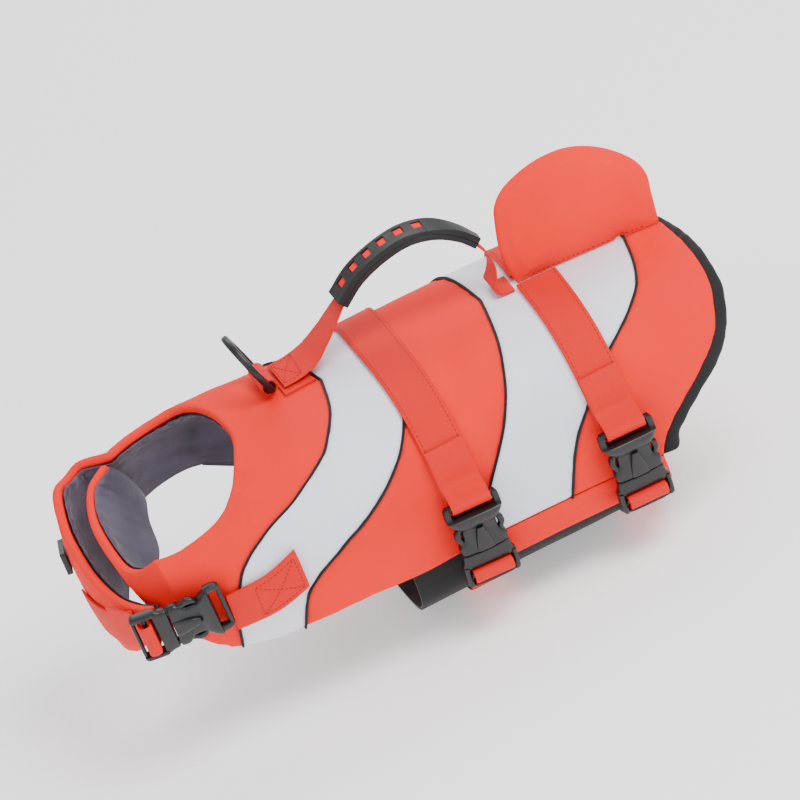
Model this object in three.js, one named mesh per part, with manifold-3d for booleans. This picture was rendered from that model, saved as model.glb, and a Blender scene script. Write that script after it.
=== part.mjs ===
// Dog life jacket, worn form with no wearer. Millimetres, +Z up, head end at -X, near side -Y.
// The origin is the underside of the back, where the dog's back carries the jacket.
import * as THREE from 'three';
import Module from 'manifold-3d';
import { mergeVertices } from 'three/addons/utils/BufferGeometryUtils.js';

const wasm = await Module();
wasm.setup();

// Driving dimensions
const wall = 7;             // foam, cover and seam of a panel
const liningThick = 0.8;
const liningGap = 0.7;
const liningReach = 26;     // how far the lining runs on behind the first seam, on the far side
const seamGap = 0.3;
const back = 8;             // height of the cover over the origin
const lameExponent = 2 / 3.4;
const flankDepth = 88;      // widest line down to where the section would close
const twistHeight = -70;
const webWidth = 30;
const webThick = 1.6;
const pipingWidth = 2;
const pipingThick = 1.2;
const strapLift = pipingThick + 2.4 * seamGap;
const strapFront = 10;      // places of the two girth straps along the back
const strapRear = 127;
const hemBandWidth = 24;
const girthOfLowerEdge = 180;

// Sections of the worn form: half width, height of the back, back down to the widest line, twist
const sections = [
  { x: -222, half: 56, top: -6, drop: 66, twist: 18 },
  { x: -200, half: 72, top: 1, drop: 70, twist: 18 },
  { x: -172, half: 86, top: 2, drop: 74, twist: 17 },
  { x: -140, half: 95, top: 1, drop: 77, twist: 15 },
  { x: -105, half: 100, top: 1, drop: 79, twist: 8 },
  { x: -70, half: 102, top: 1, drop: 80, twist: 1 },
  { x: -20, half: 103, top: 1, drop: 80, twist: 0 },
  { x: 60, half: 103, top: 0, drop: 80, twist: 0 },
  { x: 120, half: 102, top: -2, drop: 80, twist: 0 },
  { x: 180, half: 98, top: -6, drop: 78, twist: 0 },
  { x: 236, half: 90, top: -11, drop: 74, twist: 0 },
];

// Lower edge of the panels, as girth from the spine on each side
const lowerEdge = [
  { x: -199, near: 120, far: 122 },
  { x: -168, near: 153, far: 144 },
  { x: -124, near: 169, far: 152 },
  { x: -105, near: 177, far: 158 },
  { x: -92, near: 182, far: 168 },
  { x: -80, near: 187, far: 180 },
  { x: -60, near: 191, far: 190 },
  { x: -30, near: 194, far: 194 },
  { x: 20, near: 192, far: 192 },
  { x: 240, near: 192, far: 192 },
];

// Seams across the back: place along the body for each share of the girth, near and far side
const seams = {
  bandFrontFore: {
    near: [[0, -35], [0.2, -42], [0.387, -60], [0.447, -74], [0.487, -96], [0.51, -122], [0.55, -140],
      [0.62, -152], [0.81, -164], [1, -168]],
    far: [[0, -35], [0.2, -42], [0.36, -54], [0.5, -68], [0.64, -84], [0.78, -102], [0.9, -114],
      [1, -119]],
  },
  bandFrontAft: {
    near: [[0, 8], [0.38, -1], [0.43, -4], [0.53, -16], [0.595, -29], [0.655, -44], [0.716, -63],
      [0.765, -84], [0.8, -102], [0.86, -115], [1, -125]],
    far: [[0, 8], [0.38, -1], [0.53, -15], [0.66, -34], [0.8, -58], [1, -76]],
  },
  bandRearFore: {
    near: [[0, 87], [0.14, 84], [0.31, 79], [0.48, 69], [0.61, 56], [0.7, 44], [0.8, 30], [1, 6]],
  },
  bandRearAft: {
    near: [[0, 194], [0.19, 189], [0.32, 182], [0.42, 168], [0.49, 153], [0.56, 136], [0.7, 111],
      [0.78, 98], [0.86, 89], [1, 77]],
  },
  rearEdge: {
    near: [[0, 222], [0.22, 226], [0.35, 227], [0.43, 226], [0.505, 222], [0.6, 215], [0.74, 192],
      [0.84, 170], [0.9, 158], [0.94, 152], [1, 146]],
    far: [[0, 222], [0.08, 218], [0.2, 212], [0.35, 207], [0.5, 204], [0.6, 199], [0.74, 184], [0.84, 162],
      [1, 148]],
  },
  bindingEdge: {
    near: [[0, 227], [0.14, 231.5], [0.31, 234], [0.43, 234], [0.515, 230.5], [0.615, 223],
      [0.72, 209], [0.82, 187], [0.9, 170], [0.94, 163], [0.97, 161.5], [1, 158]],
    far: [[0, 227], [0.08, 223], [0.2, 217], [0.35, 212], [0.5, 209], [0.6, 204], [0.72, 194], [0.82, 181],
      [0.92, 164], [1, 154]],
  },
};

const colours = {
  orange: 0xf9402c,
  white: 0xe8eaf3,
  lining: 0x514e5c,
  black: 0x1b1c1e,
  plastic: 0x2b2d2f,
  webbing: 0xf23628,
};

const jacket = new THREE.Group();

function addMesh(name, geometry, colour, roughness = 0.8) {
  const material = new THREE.MeshStandardMaterial({ color: colours[colour], roughness, metalness: 0 });
  const mesh = new THREE.Mesh(geometry, material);
  mesh.name = name;
  jacket.add(mesh);
  return mesh;
}

// Smooth value between table rows of [place, value]
function along(rows, place) {
  const last = rows.length - 1;
  const at = THREE.MathUtils.clamp(place, rows[0][0], rows[last][0]);
  let i = 0;
  while (i < last - 1 && at > rows[i + 1][0]) i += 1;
  const slope = (a, b) => (rows[b][1] - rows[a][1]) / (rows[b][0] - rows[a][0]);
  const span = rows[i + 1][0] - rows[i][0];
  const here = slope(i, i + 1);
  const before = i > 0 ? slope(i - 1, i) : here;
  const after = i < last - 1 ? slope(i + 1, i + 2) : here;
  const gentle = (a, b) => (a * b <= 0 ? 0 : (2 * a * b) / (a + b));
  const start = (i > 0 ? gentle(before, here) : here) * span;
  const end = (i < last - 1 ? gentle(here, after) : here) * span;
  const t = (at - rows[i][0]) / span;
  const h = t * t * (3 - 2 * t);
  const a = t * (1 - t) * (1 - t);
  const b = -t * t * (1 - t);
  return rows[i][1] + (rows[i + 1][1] - rows[i][1]) * h + start * a + end * b;
}

const columnOf = (table, column) => table.map((row) => [row.x, row[column]]);
const halfAt = columnOf(sections, 'half');
const topAt = columnOf(sections, 'top');
const dropAt = columnOf(sections, 'drop');
const twistAt = columnOf(sections, 'twist');
const lowerNear = columnOf(lowerEdge, 'near');
const lowerFar = columnOf(lowerEdge, 'far');

// Half section at one place, as points with their girth from the spine
const profiles = new Map();
function profileAt(x) {
  const key = Math.round(x * 50);
  if (profiles.has(key)) return profiles.get(key);
  const half = along(halfAt, x);
  const top = along(topAt, x);
  const drop = along(dropAt, x);
  const steps = 90;
  const points = [];
  let girth = 0;
  for (let i = 0; i <= steps; i += 1) {
    const angle = (i / steps) * 2.5;
    const c = Math.cos(angle);
    const y = half * Math.sin(angle) ** lameExponent;
    const depth = c >= 0 ? drop - drop * c ** lameExponent : drop + flankDepth * (-c) ** lameExponent;
    const z = top + back - depth;
    if (i > 0) girth += Math.hypot(y - points[i - 1].y, z - points[i - 1].z);
    points.push({ y, z, girth });
  }
  profiles.set(key, points);
  return points;
}

// Point on the outside of the cover at a place x and a signed girth (near side negative)
function onBody(x, girth) {
  const points = profileAt(x);
  const want = Math.abs(girth);
  let low = 0;
  let high = points.length - 1;
  while (high - low > 1) {
    const middle = (low + high) >> 1;
    if (points[middle].girth < want) low = middle;
    else high = middle;
  }
  const t = (want - points[low].girth) / (points[high].girth - points[low].girth);
  const y = THREE.MathUtils.lerp(points[low].y, points[high].y, t) * Math.sign(girth);
  const z = THREE.MathUtils.lerp(points[low].z, points[high].z, t) - twistHeight;
  const turn = THREE.MathUtils.degToRad(along(twistAt, x));
  return new THREE.Vector3(
    x,
    y * Math.cos(turn) - z * Math.sin(turn),
    twistHeight + y * Math.sin(turn) + z * Math.cos(turn),
  );
}

function bodyNormal(x, girth) {
  const step = 3;
  const lengthways = onBody(x + step, girth).sub(onBody(x - step, girth));
  const round = onBody(x, girth + step).sub(onBody(x, girth - step));
  return lengthways.cross(round).normalize();
}

const lowerGirth = (x, share) => along(share < 0 ? lowerNear : lowerFar, x) * share;

// Raised point over the cover
function over(x, girth, lift) {
  return onBody(x, girth).addScaledVector(bodyNormal(x, girth), lift);
}

function seamPlace(seam, share) {
  const rows = share < 0 || !seam.far ? seam.near : seam.far;
  return along(rows, Math.abs(share));
}

// Place beside a seam, with the gap measured square to the seam line
function besideSeam(seam, share, side, gap = seamGap) {
  const step = 0.01;
  const run = seamPlace(seam, share + step) - seamPlace(seam, share - step);
  const slope = run / (2 * step * girthOfLowerEdge);
  return seamPlace(seam, share) + side * gap * 0.85 * Math.hypot(1, slope);
}

// Closed solid from vertices and triangles, turned so that its faces point out
function closedGeometry(points, triangles) {
  let volume = 0;
  const cross = new THREE.Vector3();
  for (const [a, b, c] of triangles) {
    volume += points[a].dot(cross.crossVectors(points[b], points[c]));
  }
  const index = triangles.flatMap(([a, b, c]) => (volume > 0 ? [a, b, c] : [a, c, b]));
  const geometry = new THREE.BufferGeometry();
  const values = points.flatMap((p) => [p.x, p.y, p.z]);
  geometry.setAttribute('position', new THREE.Float32BufferAttribute(values, 3));
  geometry.setIndex(index);
  return geometry;
}

// Wall between two grids of points with the same rows and columns
function wallBetween(outer, inner) {
  const rows = outer.length;
  const columns = outer[0].length;
  const points = [...outer.flat(), ...inner.flat()];
  const out = (i, j) => i * columns + j;
  const into = (i, j) => rows * columns + i * columns + j;
  const triangles = [];
  const quad = (a, b, c, d) => triangles.push([a, b, c], [a, c, d]);
  for (let i = 0; i < rows - 1; i += 1) {
    for (let j = 0; j < columns - 1; j += 1) {
      quad(out(i, j), out(i + 1, j), out(i + 1, j + 1), out(i, j + 1));
      quad(into(i, j), into(i, j + 1), into(i + 1, j + 1), into(i + 1, j));
    }
    quad(out(i + 1, 0), out(i, 0), into(i, 0), into(i + 1, 0));
    quad(out(i, columns - 1), out(i + 1, columns - 1), into(i + 1, columns - 1), into(i, columns - 1));
  }
  for (let j = 0; j < columns - 1; j += 1) {
    quad(out(0, j), out(0, j + 1), into(0, j + 1), into(0, j));
    quad(out(rows - 1, j + 1), out(rows - 1, j), into(rows - 1, j), into(rows - 1, j + 1));
  }
  return closedGeometry(points, triangles);
}

function makeGrid(rows, columns, place) {
  return Array.from({ length: rows + 1 }, (_, i) => (
    Array.from({ length: columns + 1 }, (_, j) => place(i / rows, j / columns))
  ));
}

// Layer that lies on the cover between two lifts
function layer(rows, columns, placeOnCover, low, high) {
  const gridAt = (lift) => makeGrid(rows, columns, (s, t) => {
    const [x, girth] = placeOnCover(s, t);
    return over(x, girth, lift);
  });
  return wallBetween(gridAt(high), gridAt(low));
}

// Rows of the panels: closer together where the first seam runs along the body
const rowSpans = [
  { from: -1, to: -0.6, rows: 8 },
  { from: -0.6, to: -0.42, rows: 13 },
  { from: -0.42, to: 1, rows: 27 },
];
const rowShares = [-1, ...rowSpans.flatMap(({ from, to, rows }) => (
  Array.from({ length: rows }, (_, i) => THREE.MathUtils.lerp(from, to, (i + 1) / rows))
))];

// Panel of the jacket between two seams, from near lower edge to far lower edge
function panel(name, fore, aft, colour, columns) {
  const gridAt = (lift) => rowShares.map((share) => {
    const from = besideSeam(fore, share, 1);
    const to = besideSeam(aft, share, -1);
    return Array.from({ length: columns + 1 }, (_, j) => {
      const x = THREE.MathUtils.lerp(from, to, j / columns);
      return over(x, lowerGirth(x, share), lift);
    });
  });
  addMesh(name, wallBetween(gridAt(0), gridAt(-wall)), colour);
}

panel('white_band_front', seams.bandFrontFore, seams.bandFrontAft, 'white', 3);
panel('middle_panel', seams.bandFrontAft, seams.bandRearFore, 'orange', 4);
panel('white_band_rear', seams.bandRearFore, seams.bandRearAft, 'white', 4);
panel('rear_panel', seams.bandRearAft, seams.rearEdge, 'orange', 3);
panel('rear_binding', seams.rearEdge, seams.bindingEdge, 'black', 1);

// Piping that covers each seam
const pipingNames = ['bandFrontFore', 'bandFrontAft', 'bandRearFore', 'bandRearAft'];
pipingNames.forEach((key, number) => {
  const last = rowShares.length - 1;
  const places = rowShares.map((share) => {
    const x = seamPlace(seams[key], share);
    return [x, lowerGirth(x, share)];
  });
  const centre = places.map(([x, girth]) => onBody(x, girth));
  const sideAt = centre.map((point, i) => {
    const ahead = centre[Math.min(i + 1, last)].clone().sub(centre[Math.max(i - 1, 0)]);
    const normal = bodyNormal(...places[i]);
    return { normal, across: ahead.cross(normal).normalize() };
  });
  const gridAt = (lift) => centre.map((point, i) => [-0.5, 0.5].map((side) => (
    point.clone()
      .addScaledVector(sideAt[i].across, side * pipingWidth)
      .addScaledVector(sideAt[i].normal, lift)
  )));
  addMesh(`piping_${number + 1}`, wallBetween(gridAt(seamGap + pipingThick), gridAt(seamGap)), 'black');
});

// Front panel: rows run from the neck edge out to the first seam or to the lower edge.
// Rows of the two neck flaps are given by points, rows on the body by place and girth.
const nearFlapRows = [
  { neck: [-192, 38, 2], bulge: [-182, 51, -16], edge: [-179, 58, -44] },
  { neck: [-208, 31, -5], bulge: [-199, 39, -33], edge: [-184, 41, -57] },
  { neck: [-218, 13, -14], bulge: [-210, 14, -42], edge: [-190, 9, -68] },
  { neck: [-222, -12, -22], bulge: [-217, -14, -48], edge: [-203, -13, -70] },
  { neck: [-219, -40, -36], bulge: [-219, -43, -54], edge: [-212, -42, -68] },
  { neck: [-211, -56, -36], bulge: [-212, -62, -56], edge: [-205, -62, -84] },
];
const nearLowerRows = [
  { neckX: -199, neckGirth: -53, edgeX: -194, edgeGirth: -126 },
  { neckX: -190, neckGirth: -56, edgeX: -182, edgeGirth: -143 },
  { neckX: -181, neckGirth: -58, edgeX: -168.5, edgeGirth: -153 },
];
const seamRows = [
  { neckX: -181, neckGirth: -58, share: -1 },
  { neckX: -172, neckGirth: -58, share: -0.81 },
  { neckX: -162, neckGirth: -57, share: -0.64 },
  { neckX: -152, neckGirth: -55, share: -0.56 },
  { neckX: -141, neckGirth: -50, share: -0.515 },
  { neckX: -130, neckGirth: -40, share: -0.487 },
  { neckX: -122, neckGirth: -29, share: -0.447 },
  { neckX: -115, neckGirth: -16, share: -0.37 },
  { neckX: -110, neckGirth: -3, share: -0.22 },
  { neckX: -108, neckGirth: 10, share: -0.02 },
  { neckX: -109, neckGirth: 26, share: 0.18 },
  { neckX: -112, neckGirth: 43, share: 0.34 },
  { neckX: -118, neckGirth: 60, share: 0.5 },
  { neckX: -126, neckGirth: 73, share: 0.66 },
  { neckX: -134, neckGirth: 80, share: 0.83 },
  { neckX: -143, neckGirth: 82, share: 1 },
];
const farLowerRows = [
  { neckX: -143, neckGirth: 82, edgeX: -120.5, edgeGirth: 153 },
  { neckX: -157, neckGirth: 80, edgeX: -136, edgeGirth: 150 },
  { neckX: -171, neckGirth: 77, edgeX: -154, edgeGirth: 147 },
  { neckX: -184, neckGirth: 73, edgeX: -172, edgeGirth: 144 },
];
const farFlapRows = [
  { neck: [-204, 62, 0], bulge: [-202, 84, -28], edge: [-190, 86, -80] },
  { neck: [-216, 60, -4], bulge: [-216, 76, -40], edge: [-204, 74, -96] },
  { neck: [-228, 50, -5], bulge: [-232, 62, -46], edge: [-216, 58, -108] },
  { neck: [-236, 32, -23], bulge: [-242, 40, -58], edge: [-226, 36, -114] },
  { neck: [-238, 6, -36], bulge: [-245, 10, -68], edge: [-232, 8, -114] },
  { neck: [-237, -16, -45], bulge: [-244, -18, -72], edge: [-233, -18, -108] },
  { neck: [-231, -44, -53], bulge: [-237, -50, -72], edge: [-229, -45, -98] },
  { neck: [-225, -62, -54], bulge: [-227, -68, -68], edge: [-222, -62, -86] },
  { neck: [-214, -74, -56], bulge: [-217, -79, -70], edge: [-212, -75, -87] },
];
const rowPoints = 7;
const raised = ([x, y, z]) => new THREE.Vector3(x, y, z + back);

function flapRow({ neck, bulge, edge }) {
  return new THREE.QuadraticBezierCurve3(raised(neck), raised(bulge), raised(edge)).getPoints(rowPoints - 1);
}

// Rows between the table's rows, with every column smoothed
function bodyRow(from, to) {
  return Array.from({ length: rowPoints }, (unused, j) => {
    const t = j / (rowPoints - 1);
    const at = [THREE.MathUtils.lerp(from[0], to[0], t), THREE.MathUtils.lerp(from[1], to[1], t)];
    const point = onBody(...at);
    point.normal = bodyNormal(...at);
    return point;
  });
}

function bodyRows(table, steps) {
  const value = (column, place) => along(table.map((row, i) => [i, row[column]]), place);
  return Array.from({ length: (table.length - 1) * steps + 1 }, (_, i) => {
    const place = i / steps;
    return bodyRow(
      [value('neckX', place), value('neckGirth', place)],
      [value('edgeX', place), value('edgeGirth', place)],
    );
  });
}

// Rows that end at the first seam, on the same shares of the girth as the rows of the band behind it
function rowsToSeam(reach) {
  const value = (column, share) => along(seamRows.map((row) => [row.share, row[column]]), share);
  return rowShares.map((share) => {
    const behind = reach * THREE.MathUtils.smoothstep(share, -0.5, 0);
    const x = besideSeam(seams.bandFrontFore, share, -1) + behind;
    return bodyRow([value('neckX', share), value('neckGirth', share)], [x, lowerGirth(x, share)]);
  });
}

function smoothRows(rows, steps) {
  const columns = rows[0].map((_, j) => (
    new THREE.CatmullRomCurve3(rows.map((row) => row[j]), false, 'centripetal')
  ));
  const count = (rows.length - 1) * steps;
  return Array.from({ length: count + 1 }, (_, i) => columns.map((curve) => curve.getPoint(i / count)));
}

function gridNormals(rows) {
  const last = rows.length - 1;
  const end = rows[0].length - 1;
  return rows.map((row, i) => row.map((_, j) => {
    const a = rows[Math.min(i + 1, last)][j].clone().sub(rows[Math.max(i - 1, 0)][j]);
    const b = rows[i][Math.min(j + 1, end)].clone().sub(rows[i][Math.max(j - 1, 0)]);
    return b.cross(a).normalize();
  }));
}

// Whole front from the near flap's tip round the neck to the far flap's end
function frontRows(reach = 0) {
  const nearLower = bodyRows(nearLowerRows, 2);
  const farLower = bodyRows(farLowerRows, 2);
  return [
    ...smoothRows([...nearFlapRows.map(flapRow), nearLower[0]], 2).slice(0, -1),
    ...nearLower.slice(0, -1),
    ...rowsToSeam(reach),
    ...farLower.slice(1),
    ...smoothRows([farLower[farLower.length - 1], ...farFlapRows.map(flapRow)], 2).slice(1),
  ];
}

function frontGrid(rows, lift) {
  const normals = gridNormals(rows);
  return rows.map((row, i) => (
    row.map((point, j) => point.clone().addScaledVector(point.normal || normals[i][j], lift))
  ));
}

const coverRows = frontRows();
const liningRows = frontRows(liningReach);
addMesh('front_panel', wallBetween(frontGrid(coverRows, 0), frontGrid(coverRows, -wall)), 'orange');
addMesh('front_lining', wallBetween(
  frontGrid(liningRows, -wall - liningGap),
  frontGrid(liningRows, -wall - liningGap - liningThick),
), 'lining');

// Hem bands under the rear half, on both sides
const hemBandFrom = 18;
const hemBandTo = 147;
for (const [side, name] of [[-1, 'hem_band_near'], [1, 'hem_band_far']]) {
  const geometry = layer(4, 12, (s, t) => {
    const x = THREE.MathUtils.lerp(hemBandFrom, hemBandTo, t);
    return [x, side * (192 + seamGap + s * hemBandWidth)];
  }, -wall + 1, 0);
  addMesh(name, geometry, 'orange');
}

// Belly panel: along the inside of the walls, then a sling between them
const belly = { from: -44, to: 146, thick: 2.5, top: 184, leave: 206, bottom: -158, rows: 8, columns: 24 };
function bellyLine(x) {
  const inside = [belly.top, (belly.top + belly.leave) / 2, belly.leave].map((girth) => (
    over(x, girth, -wall - 2 * seamGap - belly.thick / 2)
  ));
  const corner = inside[2];
  const sling = [0.93, 0.8, 0.58, 0.3].map((share) => new THREE.Vector3(
    x,
    corner.y * share,
    THREE.MathUtils.lerp(belly.bottom, corner.z, 1 - Math.sqrt(1 - share ** 2.6)),
  ));
  const half = [...inside, ...sling];
  const other = half.map((p) => new THREE.Vector3(x, -p.y, p.z)).reverse();
  return new THREE.CatmullRomCurve3([...half, new THREE.Vector3(x, 0, belly.bottom), ...other]);
}

// Point of the belly panel's middle surface, moved out by a distance
function bellyPoint(line, t, out) {
  const tangent = line.getTangentAt(t);
  return line.getPointAt(t).add(new THREE.Vector3(0, -tangent.z, tangent.y).multiplyScalar(out));
}

const bellyGrid = (out) => Array.from({ length: belly.rows + 1 }, (_, i) => {
  const line = bellyLine(THREE.MathUtils.lerp(belly.from, belly.to, i / belly.rows));
  return Array.from({ length: belly.columns + 1 }, (unused, j) => bellyPoint(line, j / belly.columns, out));
});
addMesh('belly_panel', wallBetween(bellyGrid(belly.thick / 2), bellyGrid(-belly.thick / 2)), 'black');

// Girth straps over the back: the front one whole, the rear one in two beside the fin
const strapEnd = 152;
function girthStrap(name, centre, from, to) {
  const rows = Math.round(Math.abs(to - from) / 10);
  const geometry = layer(rows, 1, (s, t) => (
    [centre + (t - 0.5) * webWidth, THREE.MathUtils.lerp(from, to, s)]
  ), strapLift, strapLift + webThick);
  addMesh(name, geometry, 'webbing');
}
girthStrap('strap_front', strapFront, -strapEnd, 186);
girthStrap('strap_rear_near', strapRear, -strapEnd, -8);
girthStrap('strap_rear_far', strapRear, 8, 186);

// Side-release buckle in its own frame: +Y towards the strap on the female end, +Z outwards
const buckle = { thick: 11, slot: 4.5, barThick: 6.4 };
function asManifold(geometry) {
  const plain = geometry.clone();
  plain.deleteAttribute('normal');
  plain.deleteAttribute('uv');
  const merged = mergeVertices(plain, 1e-4);
  return new wasm.Manifold(new wasm.Mesh({
    numProp: 3,
    vertProperties: new Float32Array(merged.attributes.position.array),
    triVerts: new Uint32Array(merged.index.array),
  }));
}

function fromManifold(solid) {
  const mesh = solid.getMesh();
  const geometry = new THREE.BufferGeometry();
  geometry.setAttribute('position', new THREE.Float32BufferAttribute(Array.from(mesh.vertProperties), 3));
  geometry.setIndex(Array.from(mesh.triVerts));
  return geometry;
}

function plate(outline, low, high, bevel = 0) {
  const shape = new THREE.Shape(outline.map(([x, y]) => new THREE.Vector2(x, y)));
  const geometry = new THREE.ExtrudeGeometry(shape, {
    depth: high - low - 2 * bevel,
    bevelEnabled: bevel > 0,
    bevelThickness: bevel,
    bevelSize: bevel,
    bevelOffset: -bevel,
    bevelSegments: 1,
  });
  return geometry.translate(0, 0, low + bevel);
}

const mirrored = (half) => [...half, ...half.map(([x, y]) => [-x, y]).reverse()];
const block = (wide, long, low, high, x, y) => (
  new THREE.BoxGeometry(wide, long, high - low).translate(x, y, (low + high) / 2)
);

const femaleGeometry = (() => {
  const { thick } = buckle;
  const body = asManifold(plate(mirrored([
    [14.5, 33], [20.5, 31], [19, 22], [16.5, 15], [16.5, 6], [18, -2], [17, -6],
  ]), 0, thick, 1.2));
  const mouth = asManifold(block(28.5, 26, 2, thick - 2, 0, 0.5));
  const windows = [-1, 1].map((side) => asManifold(block(7, 11, 1.8, thick - 1.8, side * 17.4, 9)));
  const slot = asManifold(block(31, buckle.slot + 1, -1, thick + 1, 0, 27));
  const step = asManifold(block(60, 20, buckle.barThick, thick + 1, 0, 34));
  return fromManifold([mouth, ...windows, slot, step].reduce((solid, cut) => solid.subtract(cut), body));
})();

const maleGeometry = (() => {
  const { thick } = buckle;
  const base = asManifold(plate(mirrored([
    [17, -7], [17.5, -12], [19.5, -15], [19.5, -31], [17, -33],
  ]), 0.6, thick - 0.6, 1));
  const slots = [-20, -28].map((y) => asManifold(block(31, buckle.slot, -1, thick + 1, 0, y)));
  const tongue = asManifold(block(7, 16, 3.5, thick - 3.5, 0, 0));
  const prongs = [-1, 1].map((side) => asManifold(block(4, 20.5, 3, thick - 3, side * 11.5, 2)));
  const tips = [-1, 1].map((side) => asManifold(plate([
    [side * 11, 12.3], [side * 11, 5], [side * 17.2, 5], [side * 17.6, 8],
  ], 3, thick - 3)));
  let whole = base.subtract(slots[0]).subtract(slots[1]).add(tongue);
  for (const part of [...prongs, ...tips]) whole = whole.add(part);
  return fromManifold(whole);
})();

// Frame from a place on the cover: up along the strap, out from the cover
function buckleFrame(origin, up, out) {
  const across = up.clone().cross(out).normalize();
  const outward = across.clone().cross(up).normalize();
  return new THREE.Matrix4().makeBasis(across, up.clone().normalize(), outward).setPosition(origin);
}

function placeBuckle(name, frame) {
  addMesh(`${name}_female`, femaleGeometry.clone().applyMatrix4(frame), 'plastic', 0.45);
  addMesh(`${name}_male`, maleGeometry.clone().applyMatrix4(frame), 'plastic', 0.45);
}

const girthBuckle = { centre: 183, lift: 7, lean: -4 };
const girthFrames = [strapFront, strapRear].map((place) => {
  const high = over(place, -(girthBuckle.centre - 33), girthBuckle.lift + strapLift);
  const low = over(place + girthBuckle.lean, -(girthBuckle.centre + 30), girthBuckle.lift);
  const up = high.clone().sub(low);
  const origin = low.clone().lerp(high, 0.5);
  return buckleFrame(origin, up, bodyNormal(place, -girthBuckle.centre));
});
placeBuckle('buckle_front', girthFrames[0]);
placeBuckle('buckle_rear', girthFrames[1]);

// Webbing along a centre line: side gives its width direction, widths may change along it
function ribbon(centres, sides, widths, thick, steps = 1) {
  const count = (centres.length - 1) * steps;
  const line = new THREE.CatmullRomCurve3(centres, false, 'centripetal');
  const at = Array.from({ length: count + 1 }, (_, i) => {
    const place = i / steps;
    const low = Math.min(Math.floor(place), centres.length - 2);
    const t = place - low;
    const side = sides[low].clone().lerp(sides[low + 1], t);
    const tangent = line.getTangent(i / count);
    side.addScaledVector(tangent, -side.dot(tangent)).normalize();
    const width = THREE.MathUtils.lerp(widths[low], widths[low + 1], t);
    return { point: line.getPoint(i / count), side, width, normal: side.clone().cross(tangent) };
  });
  const gridAt = (lift) => at.map(({ point, side, width, normal }) => [-0.5, 0.5].map((share) => (
    point.clone().addScaledVector(side, share * width).addScaledVector(normal, lift)
  )));
  return wallBetween(gridAt(thick / 2), gridAt(-thick / 2));
}

// Belly straps: from the far lower edge under the belly, then round the bar of the lower buckle half
const barLoop = [[-33, -1.9], [-29.6, -0.6], [-28, 5.5], [-27.4, 12], [-24, 13.2], [-20.6, 12],
  [-20, 5.5], [-18.4, -0.4], [-14, -1.7], [-9, -1.7]];
girthFrames.forEach((frame, number) => {
  const place = [strapFront, strapRear][number];
  const far = [189, 204, 216].map((girth) => over(place, girth, strapLift + webThick / 2));
  far.push(over(place, 222, -0.5));
  const line = bellyLine(place);
  const under = [0.23, 0.3, 0.4, 0.5, 0.6, 0.7, 0.77].map((t) => {
    const point = bellyPoint(line, t, belly.thick / 2 + 3);
    point.x += girthBuckle.lean * t;
    return point;
  });
  under.push(over(place + girthBuckle.lean, -223, 0));
  const loop = barLoop.map(([y, z]) => new THREE.Vector3(0, y, z).applyMatrix4(frame));
  const centres = [...far, ...under, ...loop];
  const across = new THREE.Vector3(1, 0, 0);
  const buckleSide = new THREE.Vector3().setFromMatrixColumn(frame, 0);
  if (buckleSide.x < 0) buckleSide.negate();
  const sides = centres.map((_, i) => (i < far.length + under.length ? across : buckleSide));
  const widths = centres.map(() => webWidth - 1);
  const name = ['belly_strap_front', 'belly_strap_rear'][number];
  addMesh(name, ribbon(centres, sides, widths, webThick, 2), 'webbing');
});

// Strap ends: sewn down on the girth straps and folded round the bar of each upper buckle half
const endLoop = [[38, -0.5], [35.6, 4.2], [33.4, 7.2], [30.6, 8], [27.9, 6.6], [27, 3], [27.8, -1], [30.5, -1.9],
  [33, -1.9]];
girthFrames.forEach((frame, number) => {
  const place = [strapFront, strapRear][number];
  const sewn = [-112, -121, -130, -139].map((girth) => over(place, girth, strapLift + 1.5 * webThick + seamGap));
  const loop = endLoop.map(([y, z]) => new THREE.Vector3(0, y, z).applyMatrix4(frame));
  const centres = [...sewn, ...loop];
  const buckleSide = new THREE.Vector3().setFromMatrixColumn(frame, 0);
  const alongBody = over(place - webWidth / 2, -125, 0).sub(over(place + webWidth / 2, -125, 0)).normalize();
  if (buckleSide.dot(alongBody) < 0) buckleSide.negate();
  const sides = centres.map((_, i) => (i < sewn.length ? alongBody : buckleSide));
  const name = ['strap_end_front', 'strap_end_rear'][number];
  addMesh(name, ribbon(centres, sides, centres.map(() => webWidth - 1), webThick, 2), 'webbing');
});

// Chest strap on the near flank, its buckle and the webbing of the far flap
const chest = { from: -166, to: -112, girthFore: 118, girthAft: 125 };
addMesh('chest_strap', layer(8, 2, (s, t) => [
  THREE.MathUtils.lerp(chest.from, chest.to, s),
  -(THREE.MathUtils.lerp(chest.girthFore, chest.girthAft, s) + (t - 0.5) * webWidth),
], strapLift, strapLift + 2 * webThick), 'webbing');

const chestFrame = (() => {
  const rear = new THREE.Vector3(-169, -95, -66 + back);
  const front = new THREE.Vector3(-231, -82, -66 + back);
  const up = rear.clone().sub(front);
  const origin = front.clone().lerp(rear, 0.5);
  return buckleFrame(origin, up, new THREE.Vector3(-0.28, -1, -0.22));
})();
placeBuckle('buckle_chest', chestFrame);

// Handle: patch on the back, webbing up to the moulded grip, and the rear end sewn down at the fin
const patch = { from: -61.5, near: 2, far: 54, lift: 0.4 };
addMesh('handle_patch', layer(10, 3, (s, t) => {
  const girth = THREE.MathUtils.lerp(patch.near, patch.far, s);
  const seam = seamPlace(seams.bandFrontFore, girth / lowerGirth(patch.from, 1));
  return [THREE.MathUtils.lerp(patch.from, seam - pipingWidth, t), girth];
}, patch.lift, patch.lift + webThick), 'webbing');

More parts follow.
